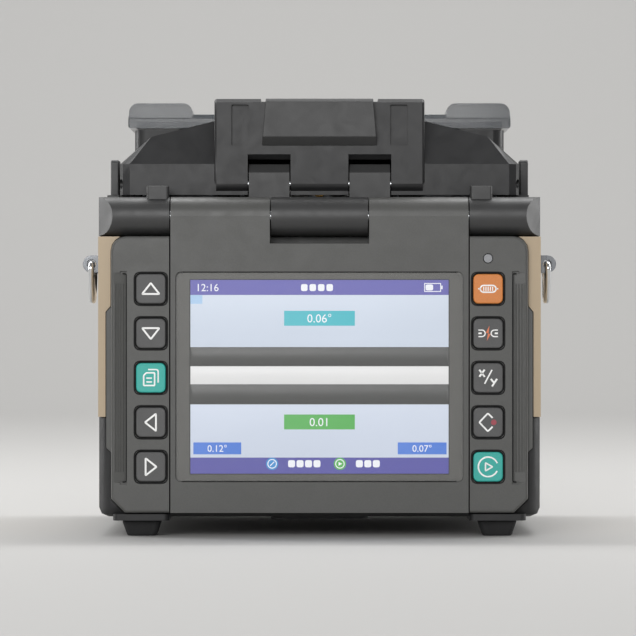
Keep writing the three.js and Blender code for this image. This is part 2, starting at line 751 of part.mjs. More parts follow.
// The wings' outer or inner surface, as the hull of their corner points.
function wings(wall) {
  const x = coverHalfWidth - wall;
  const [y0, y1] = [coverFrontY + wall, coverRearY - wall];
  const bottom = wall ? coverBottomZ - 1 : coverBottomZ;
  const [sx, sz] = [shoulderX - wall * 0.5, shoulderZ - wall];
  const ridge = spineEdgeZ - wall;
  const round = 3.5; // the vertical corners are cut at this size
  const points = [];
  for (const side of [-1, 1]) {
    for (const z of [bottom, coverCreaseZ - wall * 0.3]) {
      points.push([side * x, y0 + round, z], [side * (x - round * 0.3), y0 + round * 0.3, z]);
      points.push([side * (x - round), y0, z], [side * x, y1 - round, z], [side * (x - round), y1, z]);
    }
    for (const [px, pz] of [[sx, sz], [spineHalfWidth, ridge]]) {
      const lean = roofLean * (pz - (coverCreaseZ - wall * 0.3));
      points.push([side * px, y0 + lean, pz], [side * px, y1 - lean * 0.6, pz]);
    }
  }
  return solid(new ConvexGeometry(points.map((p) => new THREE.Vector3(...p))));
}

function coverShell() {
  const axis = [coverAxisY, coverAxisZ];
  const spineProfile = (wall) => outline([
    [spineFrontY + wall, coverAxisZ], [spineFrontY + wall, spineTopZ - 1.2 - wall],
    [spineFrontY + 1.2 + wall, spineTopZ - wall], [coverRearY - 12, spineTopZ - wall],
    [spineRearY - wall, spineTopZ - 12 - wall], [spineRearY - wall, coverBottomZ - (wall ? 2 : 0)],
    [axis[0] + (wall ? wall + 3 : 6), coverBottomZ - (wall ? 2 : 0)], [axis[0] + (wall ? wall + 3 : 6), coverAxisZ],
  ]);
  const spine = extrude(spineProfile(0), "x", -spineHalfWidth, spineHalfWidth, 0.8);
  const spineRoom = extrude(spineProfile(coverWall), "x", -spineHalfWidth + coverWall, spineHalfWidth - coverWall);
  const knuckle = bar("x", ...axis, knuckleRadius, -spineHalfWidth + 0.6, spineHalfWidth - 0.6, 24);
  const web = box(
    -spineHalfWidth + 0.8, spineHalfWidth - 0.8, coverAxisY, coverAxisY + 6.6, coverAxisZ - 0.5, coverAxisZ + 4,
  );
  const solidCover = join(cut(join(wings(0), spine), wings(coverWall), spineRoom), knuckle, web);
  // Room for the two ears of the deck to turn in.
  const earRooms = [-1, 1].map((side) => {
    const made = join(
      box(
        earInnerX - seam, earOuterX + seam, spineFrontY - 3, coverAxisY + 5.2, deckZ, earTopZ + 0.7,
      ),
      bar("x", ...axis, 8.6, earInnerX - seam, earOuterX + seam, 24),
    );
    const bevel = extrude(
      outline([
        [spineFrontY - 1, earTopZ], [coverAxisY, earTopZ], [spineFrontY, earTopZ + 3.4], [spineFrontY - 1, earTopZ + 3.4],
      ]),
      "x", earInnerX - seam, earOuterX + seam,
    );
    const both = join(made, bevel);
    return side > 0 ? both : both.mirror([1, 0, 0]);
  });
  const frontRoom = box(
    -coverHalfWidth - 1, coverHalfWidth + 1, coverFrontY - 1, coverAxisY + 3, deckZ - 1, deckZ + 1.1,
  );
  const slots = Object.values(sides).map((side) =>
    extrude(
      roundRect(fibreY - slotHalf, fibreY + slotHalf, coverBottomZ - 3, coverBottomZ + slotHeight, 1.5),
      "x", Math.min(side * 60, side * 75), Math.max(side * 60, side * 75),
    ),
  );
  const recesses = [-1, 1].map((side) => {
    const made = extrude(
      roundRect(24.2, 30.2, coverAxisZ + 13, spineTopZ - 2, 0.6), "y", spineFrontY - 1, spineFrontY + 1.2,
    );
    return side > 0 ? made : made.mirror([1, 0, 0]);
  });
  const pinBore = bar("x", ...axis, coverPinRadius + running, -80, 80, 16);
  const lampSeat = box(
    -lampHalf - joint, lampHalf + joint, spineFrontY - 1, coverRearY - 14.2, spineTopZ - 1, spineTopZ + 1,
  );
  return cut(solidCover, ...earRooms, frontRoom, ...slots, ...recesses, pinBore, lampSeat);
}
hung(windCover, "wind_cover", coverShell(), "black");

// The lamp housing: a raised block that runs over the top of the cover, with a bevelled chin.
function lampHousing() {
  const profile = outline([
    [spineFrontY - 0.3, lampChinZ], [spineFrontY - 2.4, lampChinZ + 3], [spineFrontY - 2.4, spineTopZ - 1.2],
    [spineFrontY - 1.2, spineTopZ], [coverRearY - 18, spineTopZ], [coverRearY - 14.5, spineTopZ - 0.3],
    [coverRearY - 14.5, spineTopZ - 0.7], [spineFrontY - 0.3, spineTopZ - 0.7],
  ]);
  const block = extrude(profile, "x", -lampHalf, lampHalf);
  const drafts = [-1, 1].map((side) => {
    const made = extrude(
      outline([
        [lampHalf, lampChinZ - 1], [lampHalf + 1, lampChinZ - 1], [lampHalf + 1, spineTopZ + 2],
        [lampHalf - 1.6, spineTopZ + 2],
      ]),
      "y", spineFrontY - 6, coverRearY,
    );
    return side > 0 ? made : made.mirror([1, 0, 0]);
  });
  return cut(block, ...drafts);
}
hung(windCover, "lamp_housing", lampHousing(), "housing");

// A clear LED bar under the roof, which lights the V-grooves.
const roofZ = spineTopZ - coverWall;
hung(
  windCover,
  "led_bar",
  extrude(roundRect(-24, 24, fibreY - 4, fibreY + 4, 2), "z", roofZ - 2.6, roofZ - 0.3),
  "smoke",
);

// ---------------------------------------------------------------- chassis, back and electrics

const chassisHalfX = innerX - joint;
const chassisY0 = fasciaBackY + joint;
const chassisY1 = rearY - skirtWall - joint - 0.2;
const chassisZ0 = tubBottomZ + 2.4 + joint;
const chassisWall = 2.2;
const sleeve = { gap: 0.5, wall: 2 };
const pitFloorZ = deckZ - pitDepth;

// The die-cast frame: a front and a middle bulkhead on a floor, and the sleeve of the battery.
function chassis() {
  const sleeveHalf = batteryHalfWidth + sleeve.gap + sleeve.wall;
  const floor = box(-chassisHalfX + 4, chassisHalfX - 4, -40, battery.y0 - 3, chassisZ0 + 8, chassisZ0 + 8 + chassisWall);
  const sleeveBox = box(
    -sleeveHalf, sleeveHalf, battery.y0 - sleeve.gap - sleeve.wall, chassisY1 - 1,
    battery.z0 - sleeve.gap - sleeve.wall, battery.z1 + sleeve.gap + sleeve.wall,
  );
  const sleeveRoom = box(
    -batteryHalfWidth - sleeve.gap, batteryHalfWidth + sleeve.gap, battery.y0 - sleeve.gap, rearY + 1,
    battery.z0 - sleeve.gap, battery.z1 + sleeve.gap,
  );
  const columns = [-1, 1].flatMap((sx) =>
    [-36, 14].map((y) => box(
      sx * 52 - 5, sx * 52 + 5, y - 5, y + 5, chassisZ0 + 8, pitFloorZ - 6,
    )),
  );
  const shelf = cut(
    box(-58, 58, -42, 20, pitFloorZ - 6, pitFloorZ - 6 + chassisWall),
    box(-20, 20, fibreY - 15, fibreY + 15, pitFloorZ - 7, pitFloorZ),
  );
  const behindFloor = [-1, 1].map((sx) =>
    box(sx * 58 - 8, sx * 58 + 8, -40, 40, chassisZ0 + 8, chassisZ0 + 8 + chassisWall));
  return cut(join(floor, sleeveBox, ...columns, shelf, ...behindFloor), sleeveRoom);
}
piece(machine, "chassis", chassis(), "aluminium");

// The back moulding: a plate between the side panels, open for the battery.
function rearCover() {
  const [x, z0, z1] = [halfWidth - joint, tubTopZ + joint, panelTopZ];
  const plate = extrude(roundRect(-x, x, z0, z1, 1.5), "y", sideRearY + joint, rearY, 1);
  const shelf = box(-innerX + joint, innerX - joint, rearY - skirtWall, sideRearY + 1, z0 + 4, z1 - 4);
  const mouth = box(
    -batteryHalfWidth - 1.2, batteryHalfWidth + 1.2, -10, rearY + 1, 0, battery.z1 + 1.2,
  );
  const vents = Array.from({ length: 15 }, (_, i) =>
    extrude(roundRect(-42.9 + i * 6, -41.1 + i * 6, 66, 88, 0.8), "y", 50, rearY + 1));
  return cut(join(plate, shelf), mouth, ...vents);
}
piece(machine, "rear_cover", rearCover(), "black");

// The battery pack: a black block with a finger hollow, and a push button that holds it in.
const batteryGroup = groupAt(0, rearY, (battery.z0 + battery.z1) / 2);
const button = { x: 34, halfX: 6, halfZ: 8, depth: 5 };
const batteryZ = (battery.z0 + battery.z1) / 2;
function batteryPack() {
  const body = extrude(
    roundRect(-batteryHalfWidth, batteryHalfWidth, battery.z0, battery.z1, 3), "y", battery.y0, rearY - 0.4, 1,
  );
  const finger = extrude(roundRect(-24, 12, batteryZ - 9, batteryZ + 9, 4), "y", rearY - 4, rearY + 1);
  const seat = box(
    button.x - button.halfX - joint, button.x + button.halfX + joint, rearY - button.depth - 2.4, rearY + 1,
    batteryZ - button.halfZ - joint, batteryZ + button.halfZ + joint,
  );
  return cut(body, finger, seat);
}
hung(batteryGroup, "battery_pack", batteryPack(), "black");
const releaseGroup = groupAt(button.x, rearY - 0.4, batteryZ);
hung(
  releaseGroup,
  "battery_release",
  extrude(
    roundRect(
      button.x - button.halfX, button.x + button.halfX, batteryZ - button.halfZ, batteryZ + button.halfZ, 2,
    ),
    "y", rearY - button.depth, rearY - 0.6, 0.6,
  ),
  "housing",
);

// Sockets behind a rubber door in the right side panel.
const socketX = innerX - joint;
piece(
  machine,
  "dc_jack",
  cut(
    join(box(socketX - 12, socketX, port.y0 + 2, port.y0 + 12, port.z0 + 3, port.z0 + 13)),
    cut(
      bar("x", port.y0 + 7, port.z0 + 8, 3.6, socketX - 9, socketX + 1, 20),
      bar("x", port.y0 + 7, port.z0 + 8, 1, socketX - 10, socketX - 0.6, 12),
    ),
  ),
  "rubber",
);
piece(
  machine,
  "usb_socket",
  cut(
    box(socketX - 14, socketX, port.y0 + 14, port.y0 + 28 - 1.6, port.z0 + 4.6, port.z0 + 11.4),
    cut(
      box(socketX - 12, socketX + 1, port.y0 + 14.7, port.y0 + 28 - 2.3, port.z0 + 5.3, port.z0 + 10.7),
      box(socketX - 13, socketX - 1, port.y0 + 16, port.y0 + 28 - 3.6, port.z0 + 7.4, port.z0 + 9),
    ),
  ),
  "steel",
);

const doorHinge = { x: halfWidth - 1.4, z: port.z0 + 1.6 };
const portDoor = groupAt(doorHinge.x, 0, doorHinge.z);
hung(
  portDoor,
  "port_door",
  join(
    extrude(
      roundRect(port.y0 + seam, port.y1 - seam, port.z0 + 1.6, port.z1 - seam, 1.6), "x", halfWidth - 2.3, halfWidth - 0.4, 0.4,
    ),
    bar("y", doorHinge.x, doorHinge.z, 1, port.y0 + 2, port.y1 - 2, 12),
    bar("y", halfWidth - 0.2, port.z1 - 2.6, 0.7, port.y0 + 9, port.y1 - 9, 12),
  ),
  "rubber",
);

piece(
  machine,
  "main_board",
  join(
    box(-60, 60, -26, 0, chassisZ0 + 15, chassisZ0 + 16.6),
    box(-50, -30, -22, -6, chassisZ0 + 16.4, chassisZ0 + 19),
    box(-16, 4, -22, -4, chassisZ0 + 16.4, chassisZ0 + 18.4),
    box(18, 26, -22, -4, chassisZ0 + 16.4, chassisZ0 + 24),
    ...[-40, 40].map((x) => bar("z", x, -4, 2.4, chassisZ0 + 8 + chassisWall + 0.3, chassisZ0 + 15.4, 12)),
  ),
  "board",
);

// ---------------------------------------------------------------- splicing bench

const wallTopZ = deckZ - 0.4;
const electrodeReach = { tip: 1.3, rod: 5, out: 20.5 };
const electrodeRadius = 1.1;
const clampAxisY = fibreY + 13.4;
const clampAxisZ = fibreZ + 2.6;
const trunnionRadius = 1;

// The cast tray in the pit, with a bored post for each electrode and ears for the fibre clamps.
function stageBase() {
  const [x, y] = [pitHalfX, pitHalfY];
  const tray = cut(
    extrude(roundRect(-x, x, fibreY - y, fibreY + y, 2.6), "z", pitFloorZ - 2.4, wallTopZ),
    extrude(roundRect(-x + 2, x - 2, fibreY - y + 2, fibreY + y - 2, 1.6), "z", pitFloorZ, deckZ),
  );
  const posts = [-1, 1].map((end) => {
    const [y0, y1] = [fibreY + end * 12, fibreY + end * 17.6].sort((a, b) => a - b);
    return box(-4, 4, y0, y1, pitFloorZ - 0.5, fibreZ + 2.6);
  });
  const bore = bar("y", 0, fibreZ, electrodeRadius + running, fibreY - 25, fibreY + 25, 12);
  const gap = clampHalf + 0.3;
  const ears = [-1, 1].flatMap((side) =>
    [-gap - 2, gap].map((from) => join(
      box(side * clampX + from, side * clampX + from + 2, clampAxisY - 2, clampAxisY + 2, pitFloorZ - 0.5, clampAxisZ),
      bar("x", clampAxisY, clampAxisZ, 2, side * clampX + from, side * clampX + from + 2, 12),
    )));
  const earBore = bar("x", clampAxisY, clampAxisZ, trunnionRadius + running, -x, x, 12);
  return cut(join(tray, ...posts), bore).add(cut(join(ears[0], ...ears.slice(1)), earBore));
}
piece(machine, "stage_base", stageBase(), "aluminium");

// The ceramic block whose two posts carry the V-grooves, with the arc gap between them.
function vGrooveBlock() {
  const [gap, out] = [2.6, 12.4];
  const foot = box(-out, out, fibreY - 4.4, fibreY + 4.4, pitFloorZ + joint, pitFloorZ + 5);
  const posts = [[-out, -gap], [gap, out]].map(([x0, x1]) =>
    extrude(
      outline([
        [fibreY - 4.4, pitFloorZ + 4], [fibreY + 4.4, pitFloorZ + 4], [fibreY + 3.4, fibreZ + 0.2],
        [fibreY + 0.7, fibreZ + 0.2], [fibreY, fibreZ - 0.7], [fibreY - 0.7, fibreZ + 0.2],
        [fibreY - 3.4, fibreZ + 0.2],
      ]),
      "x", x0, x1,
    ));
  return join(foot, ...posts);
}
piece(machine, "v_groove_block", vGrooveBlock(), "ceramic");

for (const [name, end] of [["front", -1], ["rear", 1]]) {
  // An electrode: a pointed rod in its post, with a knurled nut outside.
  const profile = [
    [0, electrodeReach.tip], [electrodeRadius, electrodeReach.rod], [electrodeRadius, 17.9], [2.6, 17.9],
    [2.6, electrodeReach.out], [0, electrodeReach.out],
  ];
  const rod = turned(profile, 16).rotate([end * -90, 0, 0]).translate([0, fibreY, fibreZ]);
  piece(machine, `electrode_${name}`, rod, "steel");
  // A microscope lens that looks up at the splice.
  const lens = bar("z", 0, fibreY + end * 8.2, 3.2, pitFloorZ + joint, deckZ - 3.2, 20);
  const collar = bar("z", 0, fibreY + end * 8.2, 3.6, pitFloorZ + 4, pitFloorZ + 8, 20);
  const dish = bar("z", 0, fibreY + end * 8.2, 2.2, deckZ - 4.2, deckZ, 20);
  piece(machine, `objective_${name}`, cut(join(lens, collar), dish), "black");
}

for (const [name, side] of Object.entries(sides)) {
  // A fibre clamp: a lever whose pad comes down on the V-groove.
  const clampGroup = groupAt(side * clampX, clampAxisY, clampAxisZ);
  const [c0, c1] = [side * clampX - clampHalf, side * clampX + clampHalf];
  const padX = [side * 7.6, side * (clampX - clampHalf + 1)].sort((a, b) => a - b);
  const lever = join(
    bar("x", clampAxisY, clampAxisZ, 2, c0, c1, 16),
    bar("x", clampAxisY, clampAxisZ, trunnionRadius, c0 - 1.8, c1 + 1.8, 12),
    extrude(
      outline([
        [clampAxisY, clampAxisZ - 1.6], [clampAxisY, clampAxisZ + 1.9], [fibreY - 5, clampAxisZ + 1.9],
        [fibreY - 8.6, clampAxisZ + 0.6], [fibreY - 8.6, clampAxisZ - 0.6], [fibreY - 5, clampAxisZ - 1.6],
      ]),
      "x", c0, c1,
    ),
    box(...padX, fibreY - 2, fibreY + 2, fibreZ + 0.7, clampAxisZ + 1.6),
  );
  hung(clampGroup, `fibre_clamp_${name}`, lever, "housing");

  // A sheath stage: a block with a fibre groove and a tongue that slides in the deck.
  const stageGroup = groupAt(side * (stageInnerX + stageLength / 2), fibreY, deckZ);
  const [s0, s1] = [side * stageInnerX, side * (stageInnerX + stageLength)].sort((a, b) => a - b);
  const lidMid = side * (stageInnerX + 3.3 + sheathLidHalf);
  const sheathAxisY = fibreY + 7;
  const sheathAxisZ = fibreZ + 2.8;
  const tongueX = side * (stageInnerX + stageLength / 2);
  const block = join(
    box(s0, s1, fibreY - 9, fibreY + 9.4, deckZ + joint, fibreZ + 0.4),
    box(
      tongueX - stageTongue.x, tongueX + stageTongue.x, fibreY - stageTongue.y, fibreY + stageTongue.y,
      deckZ - deckThickness - 2, deckZ + 1,
    ),
  );
  const stageEars = [lidMid - sheathLidHalf - 2.3, lidMid + sheathLidHalf + 0.3].map((from) => join(
    box(from, from + 2, sheathAxisY - 2, sheathAxisY + 2, fibreZ, sheathAxisZ),
    bar("x", sheathAxisY, sheathAxisZ, 2, from, from + 2, 12),
  ));
  const groove = bar("x", fibreY, fibreZ + 0.6, 0.9, s0 - 1, s1 + 1, 8);
  const earBore = bar("x", sheathAxisY, sheathAxisZ, trunnionRadius + running, s0 - 1, s1 + 1, 12);
  hung(stageGroup, `sheath_stage_${name}`, cut(join(block, ...stageEars), groove, earBore), "aluminium");

  // A sheath lid: a flap with a thumb lip, hung in the ears of its stage.
  const lidGroup = groupAt(lidMid, sheathAxisY, sheathAxisZ);
  const [l0, l1] = [lidMid - sheathLidHalf, lidMid + sheathLidHalf];
  const flap = join(
    bar("x", sheathAxisY, sheathAxisZ, 1.9, l0, l1, 16),
    bar("x", sheathAxisY, sheathAxisZ, trunnionRadius, l0 - 2.1, l1 + 2.1, 12),
    extrude(
      outline([
        [sheathAxisY, sheathAxisZ - 1.4], [sheathAxisY, sheathAxisZ + 1.8], [fibreY - 5, sheathAxisZ + 1.8],
        [fibreY - 6.6, sheathAxisZ + 0.8], [fibreY - 6.6, sheathAxisZ - 0.4], [fibreY - 5, sheathAxisZ - 1.4],
      ]),
      "x", l0, l1,
    ),
    box(l0 + 2, l1 - 2, fibreY - 2, fibreY + 2, fibreZ + 0.8, sheathAxisZ),
  );
  hung(lidGroup, `sheath_lid_${name}`, flap, "housing");

  // A fibre guide: a slotted post on the deck, just outside the wind cover.
  const guideX = side * (halfWidth - 3.2);
  const guide = cut(
    join(
      extrude(roundRect(fibreY - 6, fibreY + 6, deckZ + joint, deckZ + 14.4, 1.4), "x", guideX - 1.4, guideX + 1.4, 0.4),
      box(guideX - 2.6, guideX + 1.6, fibreY - 7, fibreY + 7, deckZ + joint, deckZ + 2),
    ),
    extrude(
      outline([
        [fibreY - 3, deckZ + 15], [fibreY - 0.8, fibreZ + 1], [fibreY - 0.8, fibreZ - 1],
        [fibreY + 0.8, fibreZ - 1], [fibreY + 0.8, fibreZ + 1], [fibreY + 3, deckZ + 15],
      ]),
      "x", guideX - 3, guideX + 3,
    ),
  );
  piece(machine, `fibre_guide_${name}`, guide, "black");
}

// ---------------------------------------------------------------- heater

const troughHalf = 34;
const troughY = heaterFrontY + 17;
const heaterEar = { x0: 44.4, x1: 52 };

function heaterBody() {
  const block = extrude(
    roundRect(-heaterHalfWidth, heaterHalfWidth, heaterFrontY, heaterRearY, 4), "z", deckZ + joint, heaterTopZ,
  );
  const hollow = box(
    -heaterHalfWidth + 3, heaterHalfWidth - 3, heaterFrontY + 3, heaterRearY - 3, deckZ - 1, heaterTopZ - 12,
  );
  const well = extrude(
    outline([
      [troughY - 8, heaterTopZ + 1], [troughY - 5, heaterTopZ - 9], [troughY + 5, heaterTopZ - 9],
      [troughY + 8, heaterTopZ + 1],
    ]),
    "x", -troughHalf - 2, troughHalf + 2,
  );
  const ways = bar("x", troughY, heaterTopZ + 0.4, 5, -halfWidth, halfWidth, 16);
  const knuckleRoom = join(
    bar("x", heaterAxisY, heaterAxisZ, 3.2, -heaterEar.x0, heaterEar.x0, 24),
    box(-heaterEar.x0, heaterEar.x0, heaterAxisY, heaterRearY + 1, heaterAxisZ - 3.2, 200),
  );
  const cornerRoom = box(-90, 90, heaterAxisY - 1, heaterRearY + 1, heaterTopZ - 2.6, 200);
  const ears = [-1, 1].map((side) => {
    const made = join(
      bar("x", heaterAxisY, heaterAxisZ, 2.6, heaterEar.x0, heaterEar.x1, 20),
      box(heaterEar.x0, heaterEar.x1, heaterAxisY - 2.6, heaterAxisY + 2.6, heaterTopZ - 4, heaterAxisZ),
    );
    return side > 0 ? made : made.mirror([1, 0, 0]);
  });
  const bore = bar("x", heaterAxisY, heaterAxisZ, 1 + running, -60, 60, 12);
  return cut(join(cut(block, hollow, well, ways, knuckleRoom, cornerRoom), ...ears), bore);
}
piece(machine, "heater_body", heaterBody(), "black");

// The trough that the protection sleeve lies in.
piece(
  machine,
  "heater_trough",
  extrude(
    outline([
      [troughY - 7.1, heaterTopZ - 0.6], [troughY - 4.5, heaterTopZ - 8.6], [troughY + 4.5, heaterTopZ - 8.6],
      [troughY + 7.1, heaterTopZ - 0.6], [troughY + 5.8, heaterTopZ - 0.6], [troughY + 3.7, heaterTopZ - 7.4],
      [troughY - 3.7, heaterTopZ - 7.4], [troughY - 5.8, heaterTopZ - 0.6],
    ]),
    "x", -troughHalf, troughHalf,
  ),
  "aluminium",
);

const heaterLidGroup = groupAt(0, heaterAxisY, heaterAxisZ);
function heaterLid() {
  const [y0, y1] = [heaterFrontY - 0.6, heaterAxisY];
  const [z0, z1] = [heaterAxisZ, heaterAxisZ + lidThickness];
  const plate = extrude(
    outline([[y0, z0], [y1, z0], [y1, z1 - 1], [y1 - 2, z1], [y0 + 1.6, z1], [y0, z1 - 1.6]]),
    "x", -lidHalfWidth, lidHalfWidth, 0.8,
  );
  const tabs = [-1, 1].map((side) => {
    const made = extrude(
      roundRect(tabInnerX, lidHalfWidth - 0.3, z0 + 1, z1 + tabRise, 3.4), "y", y0 + 0.3, y0 + 20, 0, 4,
    );
    return side > 0 ? made : made.mirror([1, 0, 0]);
  });
  const underside = box(-lidHalfWidth + 3, lidHalfWidth - 3, y0 + 3, y1 - 4, z0 - 1, z0 + 2.4);
  const knuckle = bar("x", heaterAxisY, heaterAxisZ, 2.6, -heaterEar.x0 + 0.4, heaterEar.x0 - 0.4, 20);
  const earRooms = [-1, 1].map((side) => {
    const made = box(
      heaterEar.x0 - 0.4, heaterEar.x1 + 0.4, heaterAxisY - 3.4, heaterAxisY + 3, z0 - 1, z0 + 3.1,
    );
    return side > 0 ? made : made.mirror([1, 0, 0]);
  });
  const bore = bar("x", heaterAxisY, heaterAxisZ, 1 + running, -60, 60, 12);
  return cut(join(cut(join(plate, ...tabs), underside), knuckle), ...earRooms, bore);
}
hung(heaterLidGroup, "heater_lid", heaterLid(), "smoke");
piece(
  machine,
  "heater_hinge_pin",
  bar("x", heaterAxisY, heaterAxisZ, 1, -heaterEar.x1 + 0.6, heaterEar.x1 - 0.6, 12),
  "steel",
);

export default machine;
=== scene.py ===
import math

import bmesh
import bpy
import numpy as np
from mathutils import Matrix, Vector
from mathutils.bvhtree import BVHTree


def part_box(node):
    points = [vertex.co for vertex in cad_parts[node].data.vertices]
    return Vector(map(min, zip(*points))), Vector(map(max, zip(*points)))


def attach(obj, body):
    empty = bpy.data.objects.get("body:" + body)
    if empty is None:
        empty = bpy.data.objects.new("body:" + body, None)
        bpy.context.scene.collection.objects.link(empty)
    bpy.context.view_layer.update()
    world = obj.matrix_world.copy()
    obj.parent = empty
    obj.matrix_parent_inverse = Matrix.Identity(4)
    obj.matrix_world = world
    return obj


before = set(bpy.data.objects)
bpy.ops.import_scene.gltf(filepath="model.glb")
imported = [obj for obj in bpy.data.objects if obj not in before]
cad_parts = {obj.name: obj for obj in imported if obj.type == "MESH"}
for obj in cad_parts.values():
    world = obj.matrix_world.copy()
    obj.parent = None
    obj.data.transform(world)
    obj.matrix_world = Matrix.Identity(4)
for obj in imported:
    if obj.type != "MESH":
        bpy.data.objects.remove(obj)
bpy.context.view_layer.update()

# ---------------------------------------------------------------- studio
# A pale seamless floor, one large soft light in front, two strip lights behind for the rims and
# a long lens straight in front of the machine at the height of its screen.
MM = 0.001
smooth_below = 35  # degrees: faces of an added piece that meet at less than this shade as one


def linear(hex_value):
    """An sRGB hex colour as linear RGBA."""
    channels = [int(hex_value[i : i + 2], 16) / 255 for i in (1, 3, 5)]
    return (*[c / 12.92 if c <= 0.04045 else ((c + 0.055) / 1.055) ** 2.4 for c in channels], 1.0)


def add_node(material, kind, settings=None, inputs=None):
    """One shader node with its settings by attribute and its inputs by socket name or number; an
    input is a value or another node's output."""
    tree = material.node_tree
    node = tree.nodes.new(kind)
    for key, value in (settings or {}).items():
        setattr(node, key, value)
    for key, value in (inputs or {}).items():
        if isinstance(value, bpy.types.NodeSocket):
            tree.links.new(value, node.inputs[key])
        else:
            node.inputs[key].default_value = value
    return node


def shell(parts):
    """Joins parts, each (points, faces), into one list of points and one of faces."""
    points, faces, start = [], [], 0
    for part_points, part_faces in parts:
        points.append(part_points)
        faces += [tuple(i + start for i in face) for face in part_faces]
        start += len(part_points)
    return np.concatenate(points), faces


def loft(rings, loop=False, open_rings=False, caps=True):
    """Point i of ring r joins point i of ring r + 1. rings is (rings, points, 3) in millimetres;
    loop joins the last ring to the first, and caps closes the two end rings with a face each."""
    rings = np.asarray(rings, float)
    count, size = rings.shape[:2]
    index = np.arange(count * size).reshape(count, size)
    a = index if loop else index[:-1]
    b = np.roll(index, -1, 0) if loop else index[1:]
    a2, b2 = np.roll(a, -1, 1), np.roll(b, -1, 1)
    quads = np.stack([a, b, b2, a2], -1)
    if open_rings:
        quads = quads[:, :-1]
    faces = [tuple(q) for q in quads.reshape(-1, 4).tolist()]
    if caps and not loop:
        faces += [tuple(index[0].tolist()), tuple(index[-1][::-1].tolist())]
    return rings.reshape(-1, 3), faces


def add_piece(name, parts, body, material, closed=True):
    """One object from its parts in millimetres. It lies at the origin and rides on a CAD body."""
    points, faces = shell(parts)
    mesh = bpy.data.meshes.new(name)
    mesh.from_pydata((points * MM).tolist(), [], faces)
    bm = bmesh.new()
    bm.from_mesh(mesh)
    bmesh.ops.remove_doubles(bm, verts=bm.verts, dist=1e-7)
    if closed:
        bmesh.ops.recalc_face_normals(bm, faces=bm.faces)
    bm.to_mesh(mesh)
    bm.free()
    mesh.polygons.foreach_set("use_smooth", [True] * len(mesh.polygons))
    mesh.set_sharp_from_angle(angle=math.radians(smooth_below))
    mesh.materials.append(material)
    piece = bpy.data.objects.new(name, mesh)
    bpy.context.scene.collection.objects.link(piece)
    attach(piece, body)
    return piece


def corners(node):
    """A CAD node's lowest and highest corners in millimetres."""
    low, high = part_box(node)
    return np.array(low) / MM, np.array(high) / MM


machine_half_width = corners("lower_tub")[1][0]
front_y = corners("front_fascia")[0][1]
camera_distance, camera_height, picture_width = 1250, 74.0, 215.0
sensor = 36.0
lens = bpy.data.cameras.new("camera")
lens.sensor_width = sensor
lens.lens = sensor * camera_distance / picture_width
camera = bpy.data.objects.new("camera", lens)
camera_side = -0.5
camera.location = (camera_side * MM, (front_y - camera_distance) * MM, camera_height * MM)
camera.rotation_euler = (math.radians(90), 0, 0)
bpy.context.scene.collection.objects.link(camera)
bpy.context.scene.camera = camera
bpy.context.scene.view_settings.view_transform = "Standard"


def area_light(name, place, target, size, watts, colour="#ffffff"):
    """A rectangular light at a place in metres that faces a target."""
    data = bpy.data.lights.new(name, "AREA")
    data.shape = "RECTANGLE"
    data.size, data.size_y = size
    data.energy = watts
    data.color = linear(colour)[:3]
    light = bpy.data.objects.new(name, data)
    light.location = place
    light.rotation_euler = (Vector(target) - Vector(place)).to_track_quat("-Z", "Y").to_euler()
    bpy.context.scene.collection.objects.link(light)


area_light("key_light", (-0.35, -1.5, 0.55), (0, 0, 0.07), (1.1, 0.7), 14.5)
area_light("top_light", (0.1, 0.35, 1.1), (0, 0, 0.1), (0.9, 0.5), 5)
area_light("left_strip", (-0.9, 0.25, 0.45), (0, 0, 0.1), (0.25, 0.9), 7)
area_light("right_strip", (0.9, 0.2, 0.4), (0, 0, 0.1), (0.25, 0.9), 6)
area_light("wall_light", (0, 0.9, 2.4), (0, 2.4, 0.5), (3.2, 0.4), 60)

world = bpy.data.worlds.new("studio_air")
bpy.context.scene.world = world
world.use_nodes = True
world.node_tree.nodes["Background"].inputs["Color"].default_value = linear("#f2f3f5")
world.node_tree.nodes["Background"].inputs["Strength"].default_value = 0.36

floor_paint = bpy.data.materials.new("studio_floor_paint")
floor_paint.use_nodes = True
paint = floor_paint.node_tree.nodes["Principled BSDF"]
paint.inputs["Base Color"].default_value = linear("#adacaa")
paint.inputs["Roughness"].default_value = 0.75
# The sweep: flat to a line behind the machine, then a quarter circle, then a wall.
sweep_radius, sweep_start, sweep_top, sweep_half = 900, 1500, 3200, 4200
turn = np.linspace(-math.pi / 2, 0, 25)
sweep_y = np.concatenate([[-3200], sweep_start + sweep_radius * np.cos(turn), [sweep_start + sweep_radius]])
sweep_z = np.concatenate([[0], sweep_radius + sweep_radius * np.sin(turn), [sweep_top]])
sweep_points = np.stack(
    [np.stack([np.full_like(sweep_y, x), sweep_y, sweep_z], -1) for x in (-sweep_half, sweep_half)]
)
floor_points, floor_faces = loft(sweep_points, open_rings=True, caps=False)
floor_mesh = bpy.data.meshes.new("studio_floor")
floor_mesh.from_pydata((floor_points * MM).tolist(), [], floor_faces)
floor_mesh.polygons.foreach_set("use_smooth", [True] * len(floor_mesh.polygons))
floor_mesh.materials.append(floor_paint)
studio_floor = bpy.data.objects.new("studio_floor", floor_mesh)
bpy.context.scene.collection.objects.link(studio_floor)

# ---------------------------------------------------------------- moulded housing
# The grey and black mouldings are injection-moulded ABS with a fine spark-eroded grain. The grain
# breaks the gloss up, so the eye sees a soft satin sheen with slightly uneven tone and dust.


